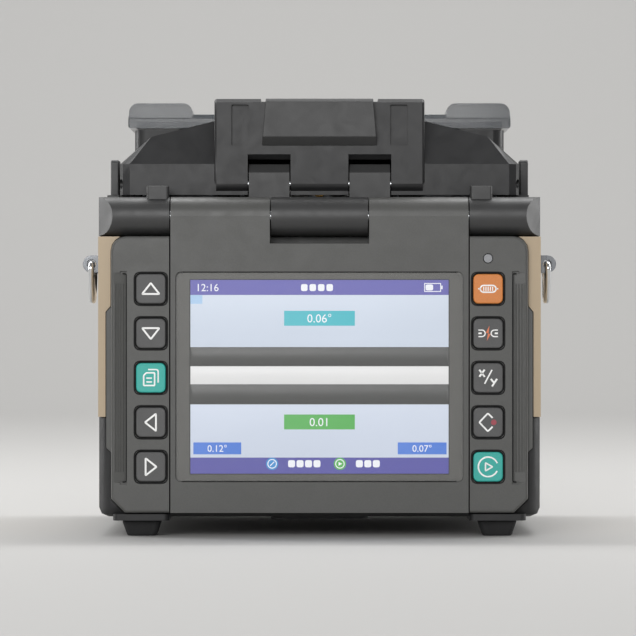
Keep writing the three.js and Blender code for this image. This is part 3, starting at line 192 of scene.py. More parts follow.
def moulded_abs(name, colour, roughness, grain=0.45, depth=0.02, uneven=0.06):
    """Grained ABS: grain and depth in millimetres, uneven is how far the tone wanders."""
    material = bpy.data.materials.new(name)
    material.use_nodes = True
    surface = material.node_tree.nodes["Principled BSDF"]
    place = add_node(material, "ShaderNodeTexCoord").outputs["Object"]
    cloud = add_node(
        material, "ShaderNodeTexNoise", None,
        {"Vector": place, "Scale": 1 / (22 * MM), "Detail": 4.0, "Roughness": 0.6},
    )
    pits = add_node(
        material, "ShaderNodeTexNoise", None,
        {"Vector": place, "Scale": 1 / (grain * MM), "Detail": 3.0, "Roughness": 0.55},
    )
    smear = add_node(
        material, "ShaderNodeTexNoise", None,
        {"Vector": place, "Scale": 1 / (6 * MM), "Detail": 5.0, "Distortion": 0.8},
    )
    base = np.array(linear(colour)[:3])
    dark, pale = base * (1 - uneven), base * (1 + uneven)
    tone = add_node(
        material, "ShaderNodeMix", {"data_type": "RGBA"},
        {"Factor": cloud.outputs["Fac"], 6: (*dark, 1), 7: (*pale, 1)},
    )
    speck = add_node(
        material, "ShaderNodeMapRange", None,
        {"Value": pits.outputs["Fac"], "From Min": 0.3, "From Max": 0.7, "To Min": 0.94, "To Max": 1.07},
    )
    grained = add_node(
        material, "ShaderNodeMix", {"data_type": "RGBA", "blend_type": "MULTIPLY"},
        {"Factor": 1.0, 6: tone.outputs[2], 7: speck.outputs[0]},
    )
    gloss = add_node(
        material, "ShaderNodeMapRange", None,
        {"Value": smear.outputs["Fac"], "From Min": 0.3, "From Max": 0.7,
         "To Min": roughness - 0.05, "To Max": roughness + 0.06},
    )
    relief = add_node(
        material, "ShaderNodeBump", None,
        {"Strength": 0.35, "Distance": depth * MM, "Height": pits.outputs["Fac"]},
    )
    material.node_tree.links.new(grained.outputs[2], surface.inputs["Base Color"])
    material.node_tree.links.new(gloss.outputs[0], surface.inputs["Roughness"])
    material.node_tree.links.new(relief.outputs["Normal"], surface.inputs["Normal"])
    surface.inputs["IOR"].default_value = 1.52
    return material


def mark_creases(mesh, least=4.0, most=26.0, breadth=4.0):
    """Shades broad faces flat, and marks the edges where two of them meet at a slight angle. The
    narrow facets of a rounded surface stay smooth."""
    points = np.zeros(len(mesh.vertices) * 3)
    mesh.vertices.foreach_get("co", points)
    points = points.reshape(-1, 3) / MM
    same = np.unique(np.round(points, 3), axis=0, return_inverse=True)[1].reshape(-1)
    triangles = len(mesh.polygons)
    normals, areas = np.zeros(triangles * 3), np.zeros(triangles)
    mesh.polygons.foreach_get("normal", normals)
    mesh.polygons.foreach_get("area", areas)
    normals = normals.reshape(-1, 3)
    loops, loop_edges = np.zeros(triangles * 3, int), np.zeros(triangles * 3, int)
    mesh.loops.foreach_get("vertex_index", loops)
    mesh.loops.foreach_get("edge_index", loop_edges)
    loops = loops.reshape(-1, 3)
    ends = np.sort(np.stack([same[loops], np.roll(same[loops], -1, axis=1)], -1).reshape(-1, 2), axis=1)
    _, key = np.unique(ends, axis=0, return_inverse=True)
    order = np.argsort(key.reshape(-1), kind="stable")
    pairs = [(a, b) for a, b in zip(order[:-1], order[1:]) if key.reshape(-1)[a] == key.reshape(-1)[b]]
    first, second = np.array(pairs).T
    cosine = np.einsum("ij,ij->i", normals[first // 3], normals[second // 3])
    # Triangles in one plane are joined into faces.
    owner = list(range(triangles))

    def top(i):
        while owner[i] != i:
            owner[i] = owner[owner[i]]
            i = owner[i]
        return i

    for a, b in zip(first[cosine > 0.99994] // 3, second[cosine > 0.99994] // 3):
        owner[top(a)] = top(b)
    face = np.array([top(i) for i in range(triangles)])
    area = np.bincount(face, areas / MM ** 2, triangles)
    low, high = np.full((triangles, 3), 1e9), np.full((triangles, 3), -1e9)
    for corner in range(3):
        np.minimum.at(low, face, points[loops[:, corner]])
        np.maximum.at(high, face, points[loops[:, corner]])
    wide = area / np.maximum(np.linalg.norm(high - low, axis=1), 1e-6) > breadth
    slight = (cosine < math.cos(math.radians(least))) & (cosine > math.cos(math.radians(most)))
    chosen = slight & wide[face[first // 3]] & wide[face[second // 3]]
    mesh.polygons.foreach_set("use_smooth", ~wide[face])
    sharp = np.zeros(len(mesh.edges), bool)
    sharp[loop_edges[first[chosen]]] = True
    sharp[loop_edges[second[chosen]]] = True
    mesh.edges.foreach_set("use_edge_sharp", sharp)


def finish(node, material, edge=0.3, segments=2, sharp=26):
    """Gives a CAD node its material and breaks its sharp edges by edge millimetres; faces that
    meet at more than sharp degrees stay crisp."""
    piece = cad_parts[node]
    piece.data.materials.clear()
    piece.data.materials.append(material)
    piece.data.polygons.foreach_set("use_smooth", [True] * len(piece.data.polygons))
    mark_creases(piece.data, most=sharp if edge else 180)
    weld = piece.modifiers.new("join_triangles", "WELD")
    weld.merge_threshold = 0.002 * MM
    flat = piece.modifiers.new("flat_faces", "DECIMATE")
    flat.decimate_type = "DISSOLVE"
    flat.angle_limit = math.radians(0.6)
    if edge:
        bevel = piece.modifiers.new("broken_edges", "BEVEL")
        bevel.width = edge * MM
        bevel.segments = segments
        bevel.limit_method = "ANGLE"
        bevel.angle_limit = math.radians(sharp)
    weighted = piece.modifiers.new("flat_shading", "WEIGHTED_NORMAL")
    weighted.weight = 90
    weighted.keep_sharp = True
    return piece


housing_abs = moulded_abs("housing_abs_grained", "#4c4c4a", 0.46)
black_abs = moulded_abs("black_abs_grained", "#19191a", 0.45)
deck_abs = moulded_abs("deck_abs_grained", "#333333", 0.45)
for node in ("front_fascia", "monitor_bezel"):
    finish(node, housing_abs)
for node in ("top_deck", "lamp_housing", "fibre_guide_left", "fibre_guide_right"):
    finish(node, deck_abs)
tub_abs = moulded_abs("tub_abs_grained", "#151516", 0.55)
finish("lower_tub", tub_abs)
finish("wind_cover", black_abs, edge=0.5, segments=3)
for node in ("rear_cover", "monitor_rear_cover", "heater_body", "battery_pack"):
    finish(node, black_abs)

# ---------------------------------------------------------------- side panels, lugs and rings
# The sides are die-cast covers in beige enamel, sprayed over a fine texture. The strap lugs are
# plain steel brackets, and the rings are bent chromed wire that shows the room in it.


def enamel(name, colour, roughness=0.42, peel=0.9):
    """Sprayed enamel: an even colour with a faint orange peel, peel millimetres from crest to crest."""
    material = bpy.data.materials.new(name)
    material.use_nodes = True
    surface = material.node_tree.nodes["Principled BSDF"]
    place = add_node(material, "ShaderNodeTexCoord").outputs["Object"]
    peel_noise = add_node(
        material, "ShaderNodeTexNoise", None, {"Vector": place, "Scale": 1 / (peel * MM), "Detail": 2.0}
    )
    cloud = add_node(
        material, "ShaderNodeTexNoise", None, {"Vector": place, "Scale": 1 / (30 * MM), "Detail": 4.0}
    )
    base = np.array(linear(colour)[:3])
    tone = add_node(
        material, "ShaderNodeMix", {"data_type": "RGBA"},
        {"Factor": cloud.outputs["Fac"], 6: (*(base * 0.93), 1), 7: (*(base * 1.05), 1)},
    )
    relief = add_node(
        material, "ShaderNodeBump", None,
        {"Strength": 0.25, "Distance": 0.02 * MM, "Height": peel_noise.outputs["Fac"]},
    )
    material.node_tree.links.new(tone.outputs[2], surface.inputs["Base Color"])
    material.node_tree.links.new(relief.outputs["Normal"], surface.inputs["Normal"])
    surface.inputs["Roughness"].default_value = roughness
    surface.inputs["Coat Weight"].default_value = 0.15
    surface.inputs["Coat Roughness"].default_value = 0.25
    return material


def bare_metal(name, colour, roughness, brush=None, along="X"):
    """Metal, polished or brushed: brush is the spacing of the scratches in millimetres, drawn
    coarser than they are so that they show."""
    material = bpy.data.materials.new(name)
    material.use_nodes = True
    surface = material.node_tree.nodes["Principled BSDF"]
    surface.inputs["Metallic"].default_value = 1.0
    place = add_node(material, "ShaderNodeTexCoord").outputs["Object"]
    spacing = brush or 3.0
    stretch = [1 / (spacing * MM)] * 3
    if brush:
        stretch["XYZ".index(along)] /= 30
    scaled = add_node(material, "ShaderNodeMapping", None, {"Vector": place, "Scale": stretch})
    marks = add_node(
        material, "ShaderNodeTexNoise", None,
        {"Vector": scaled.outputs["Vector"], "Scale": 1.0, "Detail": 4.0},
    )
    base = np.array(linear(colour)[:3])
    tone = add_node(
        material, "ShaderNodeMix", {"data_type": "RGBA"},
        {"Factor": marks.outputs["Fac"], 6: (*(base * 0.88), 1), 7: (*np.minimum(base * 1.08, 1), 1)},
    )
    gloss = add_node(
        material, "ShaderNodeMapRange", None,
        {"Value": marks.outputs["Fac"], "From Min": 0.3, "From Max": 0.7,
         "To Min": max(roughness - 0.04, 0.03), "To Max": roughness + 0.06},
    )
    relief = add_node(
        material, "ShaderNodeBump", None,
        {"Strength": 0.3 if brush else 0.06, "Distance": 0.01 * MM, "Height": marks.outputs["Fac"]},
    )
    material.node_tree.links.new(tone.outputs[2], surface.inputs["Base Color"])
    material.node_tree.links.new(gloss.outputs[0], surface.inputs["Roughness"])
    material.node_tree.links.new(relief.outputs["Normal"], surface.inputs["Normal"])
    return material


beige_enamel = enamel("beige_enamel", "#ae9b80")
chrome = bare_metal("chromed_wire", "#d9dadb", 0.1)
lug_steel = bare_metal("lug_steel_brushed", "#77797c", 0.28, brush=0.3, along="Z")
for node in ("side_panel_left", "side_panel_right"):
    finish(node, beige_enamel)
for node in ("strap_ring_left", "strap_ring_right"):
    finish(node, chrome, edge=0, sharp=60)
    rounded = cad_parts[node].modifiers.new("round_wire", "SUBSURF")
    rounded.levels = rounded.render_levels = 2
for node in ("strap_lug_left", "strap_lug_right"):
    finish(node, lug_steel, edge=0.2)


def screw(centre, normal, radius, head, recess="cross"):
    """A pan-head screw whose head stands on a face: a turned head with a drive sunk in it."""
    turn_angles = np.linspace(0, 2 * math.pi, 24, endpoint=False)
    profile = np.array(
        [(radius, 0), (radius, head * 0.45), (radius * 0.92, head * 0.75), (radius * 0.72, head * 0.95),
         (radius * 0.5, head)]
    )
    rings = np.stack(
        [np.stack([r * np.cos(turn_angles), r * np.sin(turn_angles), np.full(24, z)], -1) for r, z in profile]
    )
    # The drive: the ring at the foot of the recess is drawn in to a plus or a hexagon.
    if recess == "cross":
        reach = radius * (0.17 + 0.3 * np.abs(np.cos(2 * turn_angles)) ** 6)
    else:
        reach = radius * 0.42 / np.maximum(np.abs(np.cos((turn_angles % (math.pi / 3)) - math.pi / 6)), 0.1)
    rim = np.stack([reach * np.cos(turn_angles), reach * np.sin(turn_angles), np.full(24, head)], -1)
    sunk = rim * [0.92, 0.92, 1] - [0, 0, head * 0.6]
    rings = np.concatenate([rings, rim[None], sunk[None]])
    rotation = np.array(Vector(normal).to_track_quat("Z", "Y").to_matrix())
    points, faces = loft(rings)
    return points @ rotation.T + np.array(centre), faces


fixing_steel = bare_metal("blackened_screw_steel", "#3a3a3c", 0.3)
for sign, side in ((-1, "left"), (1, "right")):
    outer_x = sign * machine_half_width
    places = [(-58, 44.5), (-58, 97), (60, 97), (60, 44.5), (0, 33.5)]
    add_piece(
        f"panel_screws_{side}",
        [screw((outer_x - sign * 0.45, y, z), (sign, 0, 0), 2.3, 0.9) for y, z in places],
        "frame", fixing_steel,
    )
    lug_low, lug_high = corners(f"strap_lug_{side}")
    lug_y = (lug_low[1] + lug_high[1]) / 2
    add_piece(
        f"lug_rivets_{side}",
        [screw((sign * (machine_half_width + 0.55), lug_y, lug_low[2] + 1.7), (sign, 0, 0), 1.2, 0.5, "hex")],
        "frame", fixing_steel,
    )

# ---------------------------------------------------------------- keys and their symbols
# The keys are moulded silicone-coated caps. Their symbols are printed in ink on the caps, here as
# relief a tenth of a millimetre high: lines are a flat ribbon carried along a path.


def ribbon(path, width, base_y, height=0.06, loop=False):
    """A line in the X-Z plane, width millimetres wide: at each point of the path the section's two
    edges lie half the width to either side, square to the bisector of the two strokes."""
    path = np.asarray(path, float)
    ahead = np.roll(path, -1, 0) - path
    behind = path - np.roll(path, 1, 0)
    if not loop:
        ahead[-1], behind[0] = behind[-1], ahead[0]
    ahead /= np.linalg.norm(ahead, axis=1)[:, None]
    behind /= np.linalg.norm(behind, axis=1)[:, None]
    bisector = ahead + behind
    bisector /= np.linalg.norm(bisector, axis=1)[:, None]
    normal = np.stack([-bisector[:, 1], bisector[:, 0]], -1)
    stretch = 1 / np.clip(np.sum(bisector * ahead, axis=1), 0.45, 1)
    side = normal * (width / 2 * stretch)[:, None]
    inner = side * 0.75
    low, high = base_y + 0.05, base_y - height
    shoulder = high + 0.04
    section = [(side, low), (side, shoulder), (inner, high), (-inner, high), (-side, shoulder), (-side, low)]
    rings = np.stack([np.insert(path + offset, 1, y, axis=1) for offset, y in section], 1)
    return loft(rings, loop=loop)


def arc(centre, radius, start, end, count=24):
    """Points of a circle's arc in the X-Z plane, from start to end in degrees."""
    angle = np.radians(np.linspace(start, end, count))
    return np.stack([centre[0] + radius * np.cos(angle), centre[1] + radius * np.sin(angle)], -1)


def fillet(corner_points, radius, count=5, loop=True):
    """A path whose corners are rounded by short quadratic curves."""
    corner_points = np.asarray(corner_points, float)
    made = []
    for i, corner in enumerate(corner_points):
        if not loop and i in (0, len(corner_points) - 1):
            made.append(corner[None])
            continue
        before = corner_points[i - 1] - corner
        after = corner_points[(i + 1) % len(corner_points)] - corner
        start = corner + before / np.linalg.norm(before) * radius
        end = corner + after / np.linalg.norm(after) * radius
        t = np.linspace(0, 1, count)[:, None]
        made.append((1 - t) ** 2 * start + 2 * t * (1 - t) * corner + t**2 * end)
    return np.concatenate(made)


def patch(path, base_y, height=0.06):
    """A filled shape in the X-Z plane, from its outline, with a small chamfer round its top."""
    path = np.asarray(path, float)
    middle = path.mean(0)
    inner = middle + (path - middle) * 0.985
    levels = [(path, base_y + 0.05), (path, base_y - height + 0.03), (inner, base_y - height)]
    return loft(np.stack([np.insert(p, 1, y, axis=1) for p, y in levels]))


def rounded_box(x0, x1, z0, z1, radius, count=5):
    """The outline of a rectangle with round corners in the X-Z plane."""
    return fillet([(x0, z0), (x1, z0), (x1, z1), (x0, z1)], radius, count)


key_rubber = {
    "grey": moulded_abs("key_grey_coated", "#505050", 0.55, grain=0.3, depth=0.012),
    "teal": moulded_abs("key_teal_coated", "#2fa89d", 0.45, grain=0.3, depth=0.012, uneven=0.04),
    "orange": moulded_abs("key_orange_coated", "#cf7d3a", 0.45, grain=0.3, depth=0.012, uneven=0.04),
}
key_colours = {"key_menu": "teal", "key_run": "teal", "key_heat": "orange"}
white_ink = enamel("white_ink", "#f4f4f2", 0.4)
orange_ink = enamel("orange_ink", "#d9744a", 0.4)
red_ink = enamel("red_ink", "#9c3f4b", 0.4)
line = 0.62


def symbol(node, white=(), orange=(), red=()):
    """Puts a key's printed symbol on its cap."""
    for colour, parts, ink, slot in (
        ("white", white, white_ink, "ceramic"), ("orange", orange, orange_ink, "key_orange"),
        ("red", red, red_ink, "key_orange"),
    ):
        if parts:
            add_piece(f"{node}_ink_{colour}", list(parts), node, ink)


def centre_of(node):
    """A key's middle in X and Z, and the Y of its face."""
    low, high = corners(node)
    return (low[0] + high[0]) / 2, (low[2] + high[2]) / 2, low[1]


for node in [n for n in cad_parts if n.startswith("key_")]:
    finish(node, key_rubber[key_colours.get(node, "grey")], edge=0.25)

for node, spin in (("key_up", 0), ("key_down", 180), ("key_left", 90), ("key_right", -90)):
    x, z, y = centre_of(node)
    triangle = np.array([(-2.9, -1.75), (2.9, -1.75), (0, 1.95)])
    turn_angle = math.radians(spin)
    cosine, sine = math.cos(turn_angle), math.sin(turn_angle)
    rotation = np.array([[cosine, -sine], [sine, cosine]])
    symbol(node, white=[ribbon(fillet(triangle @ rotation.T, 0.35) + (x, z), line, y, loop=True)])

x, z, y = centre_of("key_menu")
page = [(x - 2.4, z - 2.6), (x + 1.3, z - 2.6), (x + 1.3, z + 1.7), (x - 1.5, z + 1.7), (x - 2.4, z + 0.8)]
page_behind = [(x - 0.9, z + 2.8), (x + 2.5, z + 2.8), (x + 2.5, z - 1.6)]
symbol(
    "key_menu",
    white=[
        ribbon(fillet(page, 0.3), line * 0.85, y, loop=True),
        ribbon([(x - 1.5, z - 0.1), (x + 0.4, z - 0.1)], line * 0.75, y),
        ribbon([(x - 1.5, z - 1.4), (x + 0.4, z - 1.4)], line * 0.75, y),
        ribbon(fillet(page_behind, 0.8, loop=False), line * 0.75, y),
    ],
)

x, z, y = centre_of("key_run")
arrow = [(x - 0.9, z - 1.35), (x - 0.9, z + 1.35), (x + 1.5, z)]
symbol(
    "key_run",
    white=[
        ribbon(arc((x, z), 3.3, 22, 335, 44), line * 0.85, y),
        ribbon(fillet(arrow, 0.25), line * 0.8, y, loop=True),
    ],
)

x, z, y = centre_of("key_reset")
angle_mark = [
    (x + 1.5, z + 1.5), (x - 0.1, z + 3.05), (x - 3.0, z), (x - 0.1, z - 3.05), (x + 1.5, z - 1.5),
]
symbol(
    "key_reset",
    white=[ribbon(fillet(angle_mark, 0.4, loop=False), line * 0.9, y)],
    red=[patch(arc((x + 1.9, z), 0.95, 0, 345, 24), y)],
)

x, z, y = centre_of("key_view")
symbol(
    "key_view",
    white=[
        ribbon([(x - 3.0, z + 2.75), (x - 1.15, z + 0.35)], line, y),
        ribbon([(x - 1.2, z + 2.75), (x - 2.95, z + 0.35)], line, y),
        ribbon([(x + 1.3, z + 2.7), (x - 1.2, z - 2.0)], line * 0.8, y),
        ribbon([(x + 0.9, z - 0.35), (x + 1.9, z - 1.6)], line, y),
        ribbon([(x + 3.0, z - 0.35), (x + 1.3, z - 2.9)], line, y),
    ],
)

x, z, y = centre_of("key_heat")
sleeve_outline = np.concatenate([arc((x + 1.5, z), 1.15, -90, 90, 12), arc((x - 1.5, z), 1.15, 90, 270, 12)])
symbol(
    "key_heat",
    white=[
        ribbon(sleeve_outline, line * 0.8, y, loop=True),
        *[ribbon([(x + dx, z - 0.7), (x + dx, z + 0.7)], line * 0.6, y)
          for dx in (-1.5, -0.75, 0, 0.75, 1.5)],
        ribbon([(x - 3.4, z), (x - 2.6, z)], line * 0.7, y),
        ribbon([(x + 2.6, z), (x + 3.4, z)], line * 0.7, y),
    ],
)

x, z, y = centre_of("key_arc")
bolt = [
    (x + 0.45, z + 2.6), (x - 0.85, z + 0.1), (x - 0.1, z + 0.1),
    (x - 0.45, z - 2.6), (x + 0.85, z - 0.2), (x + 0.1, z - 0.2),
]
symbol(
    "key_arc",
    white=[
        *[ribbon(np.concatenate([[(x - s * 3.3, z + 1.1)], arc((x - s * 2.1, z), 1.1, 90, 90 - s * 180, 10),
                                 [(x - s * 3.3, z - 1.1)]]), line * 0.65, y) for s in (1, -1)],
        *[ribbon([(x - s * 3.3, z), (x - s * 2.2, z)], line * 0.9, y) for s in (1, -1)],
    ],
    orange=[patch(bolt, y)],
)

# Painted shade: a near-black ring sits in the gap round each key in place of the shadow there, so the gap
# reads as a dark line.
# This near-black material is painted shade. It also draws the grip grooves and the key-well lines further
# down.
gap_shade_black = moulded_abs("painted_shade_black_abs", "#030303", 0.85, grain=0.3, depth=0.01)
shade_ring_outer, shade_ring_inner, shade_ring_front, shade_ring_back = 5.42, 5.12, front_y + 0.25, front_y + 1.8
gap_shade_parts = []
for node in [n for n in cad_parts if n.startswith("key_")]:
    x, z, y = centre_of(node)
    outer = rounded_box(x - shade_ring_outer, x + shade_ring_outer, z - shade_ring_outer, z + shade_ring_outer, 2.1)
    inner = rounded_box(x - shade_ring_inner, x + shade_ring_inner, z - shade_ring_inner, z + shade_ring_inner, 1.9)
    levels = [(outer, shade_ring_front), (inner, shade_ring_front), (inner, shade_ring_back), (outer, shade_ring_back)]
    gap_shade_parts.append(loft(np.stack([np.insert(p, 1, yy, axis=1) for p, yy in levels]), loop=True))
add_piece("key_gap_painted_shade", gap_shade_parts, "frame", gap_shade_black)

# ---------------------------------------------------------------- screen
# A colour panel glows behind a clear window whose border is printed grey on the inside. The
# picture is that of a finished splice: an empty image band between two pale panels with readings.


def lit_panel(name, colour, glow=0.78):
    """A part of the lit picture: it gives off its own colour, and reflects a little of it."""
    material = bpy.data.materials.new(name)
    material.use_nodes = True
    surface = material.node_tree.nodes["Principled BSDF"]
    place = add_node(material, "ShaderNodeTexCoord").outputs["Object"]
    # Backlights are brighter in places: the glow wanders by a few parts in a hundred.
    cloud = add_node(
        material, "ShaderNodeTexNoise", None, {"Vector": place, "Scale": 1 / (45 * MM), "Detail": 1.0}
    )
    base = np.array(linear(colour)[:3])
    tone = add_node(
        material, "ShaderNodeMix", {"data_type": "RGBA"},
        {"Factor": cloud.outputs["Fac"], 6: (*(base * 0.93), 1), 7: (*np.minimum(base * 1.05, 1), 1)},
    )
    material.node_tree.links.new(tone.outputs[2], surface.inputs["Emission Color"])
    surface.inputs["Emission Strength"].default_value = glow
    surface.inputs["Base Color"].default_value = (*(base * 0.25), 1)
    surface.inputs["Roughness"].default_value = 0.35
    return material


window_low, window_high = corners("screen_window")
panel_low, panel_high = corners("lcd_module")
picture_y = panel_low[1] - 0.1
picture_left, picture_right = panel_low[0] + 2.6, panel_high[0] - 2.6
picture_bottom, picture_top = panel_low[2] + 2.6, panel_high[2] - 2.6
picture_height = picture_top - picture_bottom

# The window itself, clear, with the grey border printed on its back.
clear_window = bpy.data.materials.new("clear_acrylic_window")
clear_window.use_nodes = True
surface = clear_window.node_tree.nodes["Principled BSDF"]
surface.inputs["Base Color"].default_value = linear("#d8d8d6")
surface.inputs["Alpha"].default_value = 0.05
surface.inputs["Roughness"].default_value = 0.06
surface.inputs["IOR"].default_value = 1.49
finish("screen_window", clear_window, edge=0.15)
border_ink = moulded_abs("window_border_ink", "#4e4d49", 0.35, grain=0.2, depth=0.004)
border_y = window_high[1] + 0.06
border_back = border_y + 0.12
edge_gap, picture_gap = 0.2, 0.3
outer = rounded_box(
    window_low[0] + edge_gap, window_high[0] - edge_gap,
    window_low[2] + edge_gap, window_high[2] - edge_gap, 1.8, 8,
)
inner = rounded_box(
    picture_left - picture_gap, picture_right + picture_gap,
    picture_bottom - picture_gap, picture_top + picture_gap, 0.4, 8,
)
levels = [(outer, border_y), (inner, border_y), (inner, border_back), (outer, border_back)]
add_piece(
    "window_border", [loft(np.stack([np.insert(p, 1, y, axis=1) for p, y in levels]), loop=True)],
    "monitor", border_ink,
)
panel_black = moulded_abs("panel_frame_black", "#101012", 0.35, grain=0.3, depth=0.005)
finish("lcd_module", panel_black, edge=0.2)

# The picture's bands, from the top: share of the height, and colour.
bands = [
    ("header", 15, "#5f5cae"), ("upper_panel", 52, "#cdd7e6"), ("image_upper", 19, "#4c4d4c"),
    ("scale_bar", 18, "#e2e2e2"), ("image_lower", 20, "#4c4d4c"), ("lower_panel", 53, "#ccd5e5"),
    ("footer", 16, "#4c49a0"),
]
whole = sum(share for _, share, _ in bands)
panel_glow, image_glow = 0.78, 0.35
z = picture_top
for name, share, colour in bands:
    z_low = z - picture_height * share / whole
    z_edge = z_low + 0.02
    band = [(picture_left, z_edge), (picture_right, z_edge), (picture_right, z), (picture_left, z)]
    glow = image_glow if name.startswith("image") else panel_glow
    add_piece(
        f"picture_{name}", [patch(band, picture_y, 0.02)],
        "monitor", lit_panel(f"lit_{name}", colour, glow),
    )
    z = z_low


def digits(text, x, z, height, y, thick=0.03):
    """Figures in the plain built-in face, as a solid centred on x and z."""
    curve = bpy.data.curves.new("figures", "FONT")
    curve.body = text
    curve.size = height * 1.42
    curve.align_x = "CENTER"
    curve.extrude = thick / 2
    curve.resolution_u = 3
    holder = bpy.data.objects.new("figures", curve)
    bpy.context.scene.collection.objects.link(holder)
    bpy.context.view_layer.update()
    mesh = bpy.data.meshes.new_from_object(holder)
    flat = np.zeros(len(mesh.vertices) * 3)
    mesh.vertices.foreach_get("co", flat)
    flat = flat.reshape(-1, 3)
    faces = [tuple(p.vertices) for p in mesh.polygons]
    bpy.data.objects.remove(holder)
    bpy.data.curves.remove(curve)
    bpy.data.meshes.remove(mesh)
    return np.stack([flat[:, 0] + x, y - flat[:, 2], flat[:, 1] + z - height / 2], -1), faces


label_y = picture_y - 0.06
ink_y = label_y - 0.08
lit_white = lit_panel("lit_white", "#f2f4fa")
px = (picture_right - picture_left) / 259  # the picture is laid out in units of its own width / 259


def at(u, v):
    """A place on the picture from its top left corner, in layout units."""
    return picture_left + u * px, picture_top - v * px


def label(name, u0, u1, v0, v1, colour, text):
    """A coloured label with a reading on it."""
    (x0, z1), (x1, z0) = at(u0, v0), at(u1, v1)
    add_piece(
        f"picture_{name}", [patch([(x0, z0), (x1, z0), (x1, z1), (x0, z1)], label_y, 0.03)],
        "monitor", lit_panel(f"lit_{name}", colour),
    )
    add_piece(
        f"picture_{name}_figures",
        [digits(text, (x0 + x1) / 2, (z0 + z1) / 2, (z1 - z0) * 0.56, ink_y)],
        "monitor", lit_white, closed=False,
    )


label("angle", 94, 165, 31, 46, "#3fb9c6", "0.06°")
label("loss", 94, 165, 135, 150, "#4fae4e", "0.01")
label("left_angle", 3, 51, 163, 175, "#4379d6", "0.12°")
label("right_angle", 208, 257, 163, 175, "#4379d6", "0.07°")
(x0, z1), (x1, z0) = at(0, 15.3), at(12, 24)
add_piece(
    "picture_corner_tag", [patch([(x0, z0), (x1, z0), (x1, z1), (x0, z1)], label_y, 0.03)],
    "monitor", lit_panel("lit_corner_tag", "#a9cbec"),
)


def plain_bar(u0, u1, v0, v1):
    """A stroke that stands for a word."""
    (a, d), (b, c) = at(u0, v0), at(u1, v1)
    return patch(rounded_box(a, b, c, d, min(b - a, d - c) * 0.3, 4), label_y, 0.03)


header_marks = [digits("12:16", *at(17, 7.6), 2.5, label_y)]
header_marks += [plain_bar(u, u + 6.5, 4.2, 11.2) for u in (111, 119.5, 128, 136.5)]
# The charge mark: an outline, its tip and the filled half.
(bx0, bz1), (bx1, bz0) = at(235, 3.6), at(251, 11.6)
header_marks += [
    ribbon([(bx0, bz0), (bx1, bz0), (bx1, bz1), (bx0, bz1)], 0.28, label_y, 0.03, loop=True),
    plain_bar(236, 243.5, 4.6, 10.6),
    plain_bar(251.6, 253, 5.8, 9.4),
]
footer_marks = [plain_bar(u, u + 7, 180.8, 188) for u in (98, 106.5, 115, 123.5)]
footer_marks += [plain_bar(u, u + 7, 180.8, 188) for u in (166, 174.5, 183)]
add_piece("picture_header_marks", header_marks, "monitor", lit_white, closed=False)
add_piece("picture_footer_marks", footer_marks, "monitor", lit_white)
for name, u, colour in (("redo", 82, "#2f8ed0"), ("go", 150, "#4fb04c")):
    x, z = at(u, 184.5)
    add_piece(
        f"picture_{name}_disc", [patch(arc((x, z), 6.2 * px, 0, 345, 24), label_y, 0.03)],
        "monitor", lit_panel(f"lit_{name}_disc", colour),
    )
    add_piece(
        f"picture_{name}_ring",
        [ribbon(arc((x, z), 4.3 * px, 0, 345, 24), 0.3, ink_y, 0.03, loop=True),
         ribbon([(x - 0.7, z - 0.7), (x + 0.7, z + 0.7)], 0.3, ink_y, 0.03) if name == "redo"
         else patch([(x - 0.45, z - 0.65), (x + 0.75, z), (x - 0.45, z + 0.65)], ink_y, 0.03)],
        "monitor", lit_white,
    )

# The ready lamp in the right column: a small frosted lens.
frosted_lens = enamel("frosted_lens", "#8c8d90", 0.3)
finish("status_light", frosted_lens, edge=0.3)

# ---------------------------------------------------------------- tube heater
# A smoked polycarbonate lid over a black oven. The trough is bright sheet, and the lid looks denser
# at its edges, where the light goes through more of it.


def smoked(name, colour, clear):
    """Tinted clear plastic with a fine haze: clear is the share of light that comes through."""
    material = bpy.data.materials.new(name)
    material.use_nodes = True
    surface = material.node_tree.nodes["Principled BSDF"]
    place = add_node(material, "ShaderNodeTexCoord").outputs["Object"]
    haze = add_node(
        material, "ShaderNodeTexNoise", None, {"Vector": place, "Scale": 1 / (14 * MM), "Detail": 3.0}
    )
    gloss = add_node(
        material, "ShaderNodeMapRange", None, {"Value": haze.outputs["Fac"], "To Min": 0.08, "To Max": 0.2}
    )
    # Edge-on, the light goes through more of the plastic, so it looks denser there.
    slant = add_node(material, "ShaderNodeLayerWeight", None, {"Blend": 0.35})
    density = add_node(
        material, "ShaderNodeMapRange", None,
        {"Value": slant.outputs["Facing"], "To Min": 1 - clear, "To Max": 1 - clear * 0.35},
    )
    surface.inputs["Base Color"].default_value = linear(colour)
    surface.inputs["IOR"].default_value = 1.58
    material.node_tree.links.new(gloss.outputs[0], surface.inputs["Roughness"])
    material.node_tree.links.new(density.outputs[0], surface.inputs["Alpha"])
    return material


smoke = smoked("smoked_polycarbonate", "#29323a", 0.36)
finish("heater_lid", smoke, edge=0.5, segments=3)
trough_metal = bare_metal("trough_aluminium", "#b9bbbd", 0.3, brush=0.4, along="X")
finish("heater_trough", trough_metal, edge=0.15)
pin_steel = bare_metal("ground_pin_steel", "#b4b6b8", 0.2, brush=0.25, along="X")
for node in ("heater_hinge_pin", "cover_hinge_pin", "monitor_hinge_shaft"):
    finish(node, pin_steel, edge=0.2, sharp=40)


def block(x0, x1, y0, y1, z0, z1, round_by=0.4):
    """A box between two corners, with its upright edges and its top rounded."""
    path = np.array(rounded_box(x0, x1, y0, y1, round_by, 4))
    middle = np.array([(x0 + x1) / 2, (y0 + y1) / 2])
    inset = 1 - round_by / np.array([(x1 - x0) / 2, (y1 - y0) / 2])
    rings = [np.insert(path, 2, z, axis=1) for z in (z0, z1 - round_by * 0.6)]
    rings.append(np.insert(middle + (path - middle) * (0.35 + 0.65 * inset), 2, z1 - round_by * 0.15, axis=1))
    rings.append(np.insert(middle + (path - middle) * inset, 2, z1, axis=1))
    return loft(np.stack(rings))


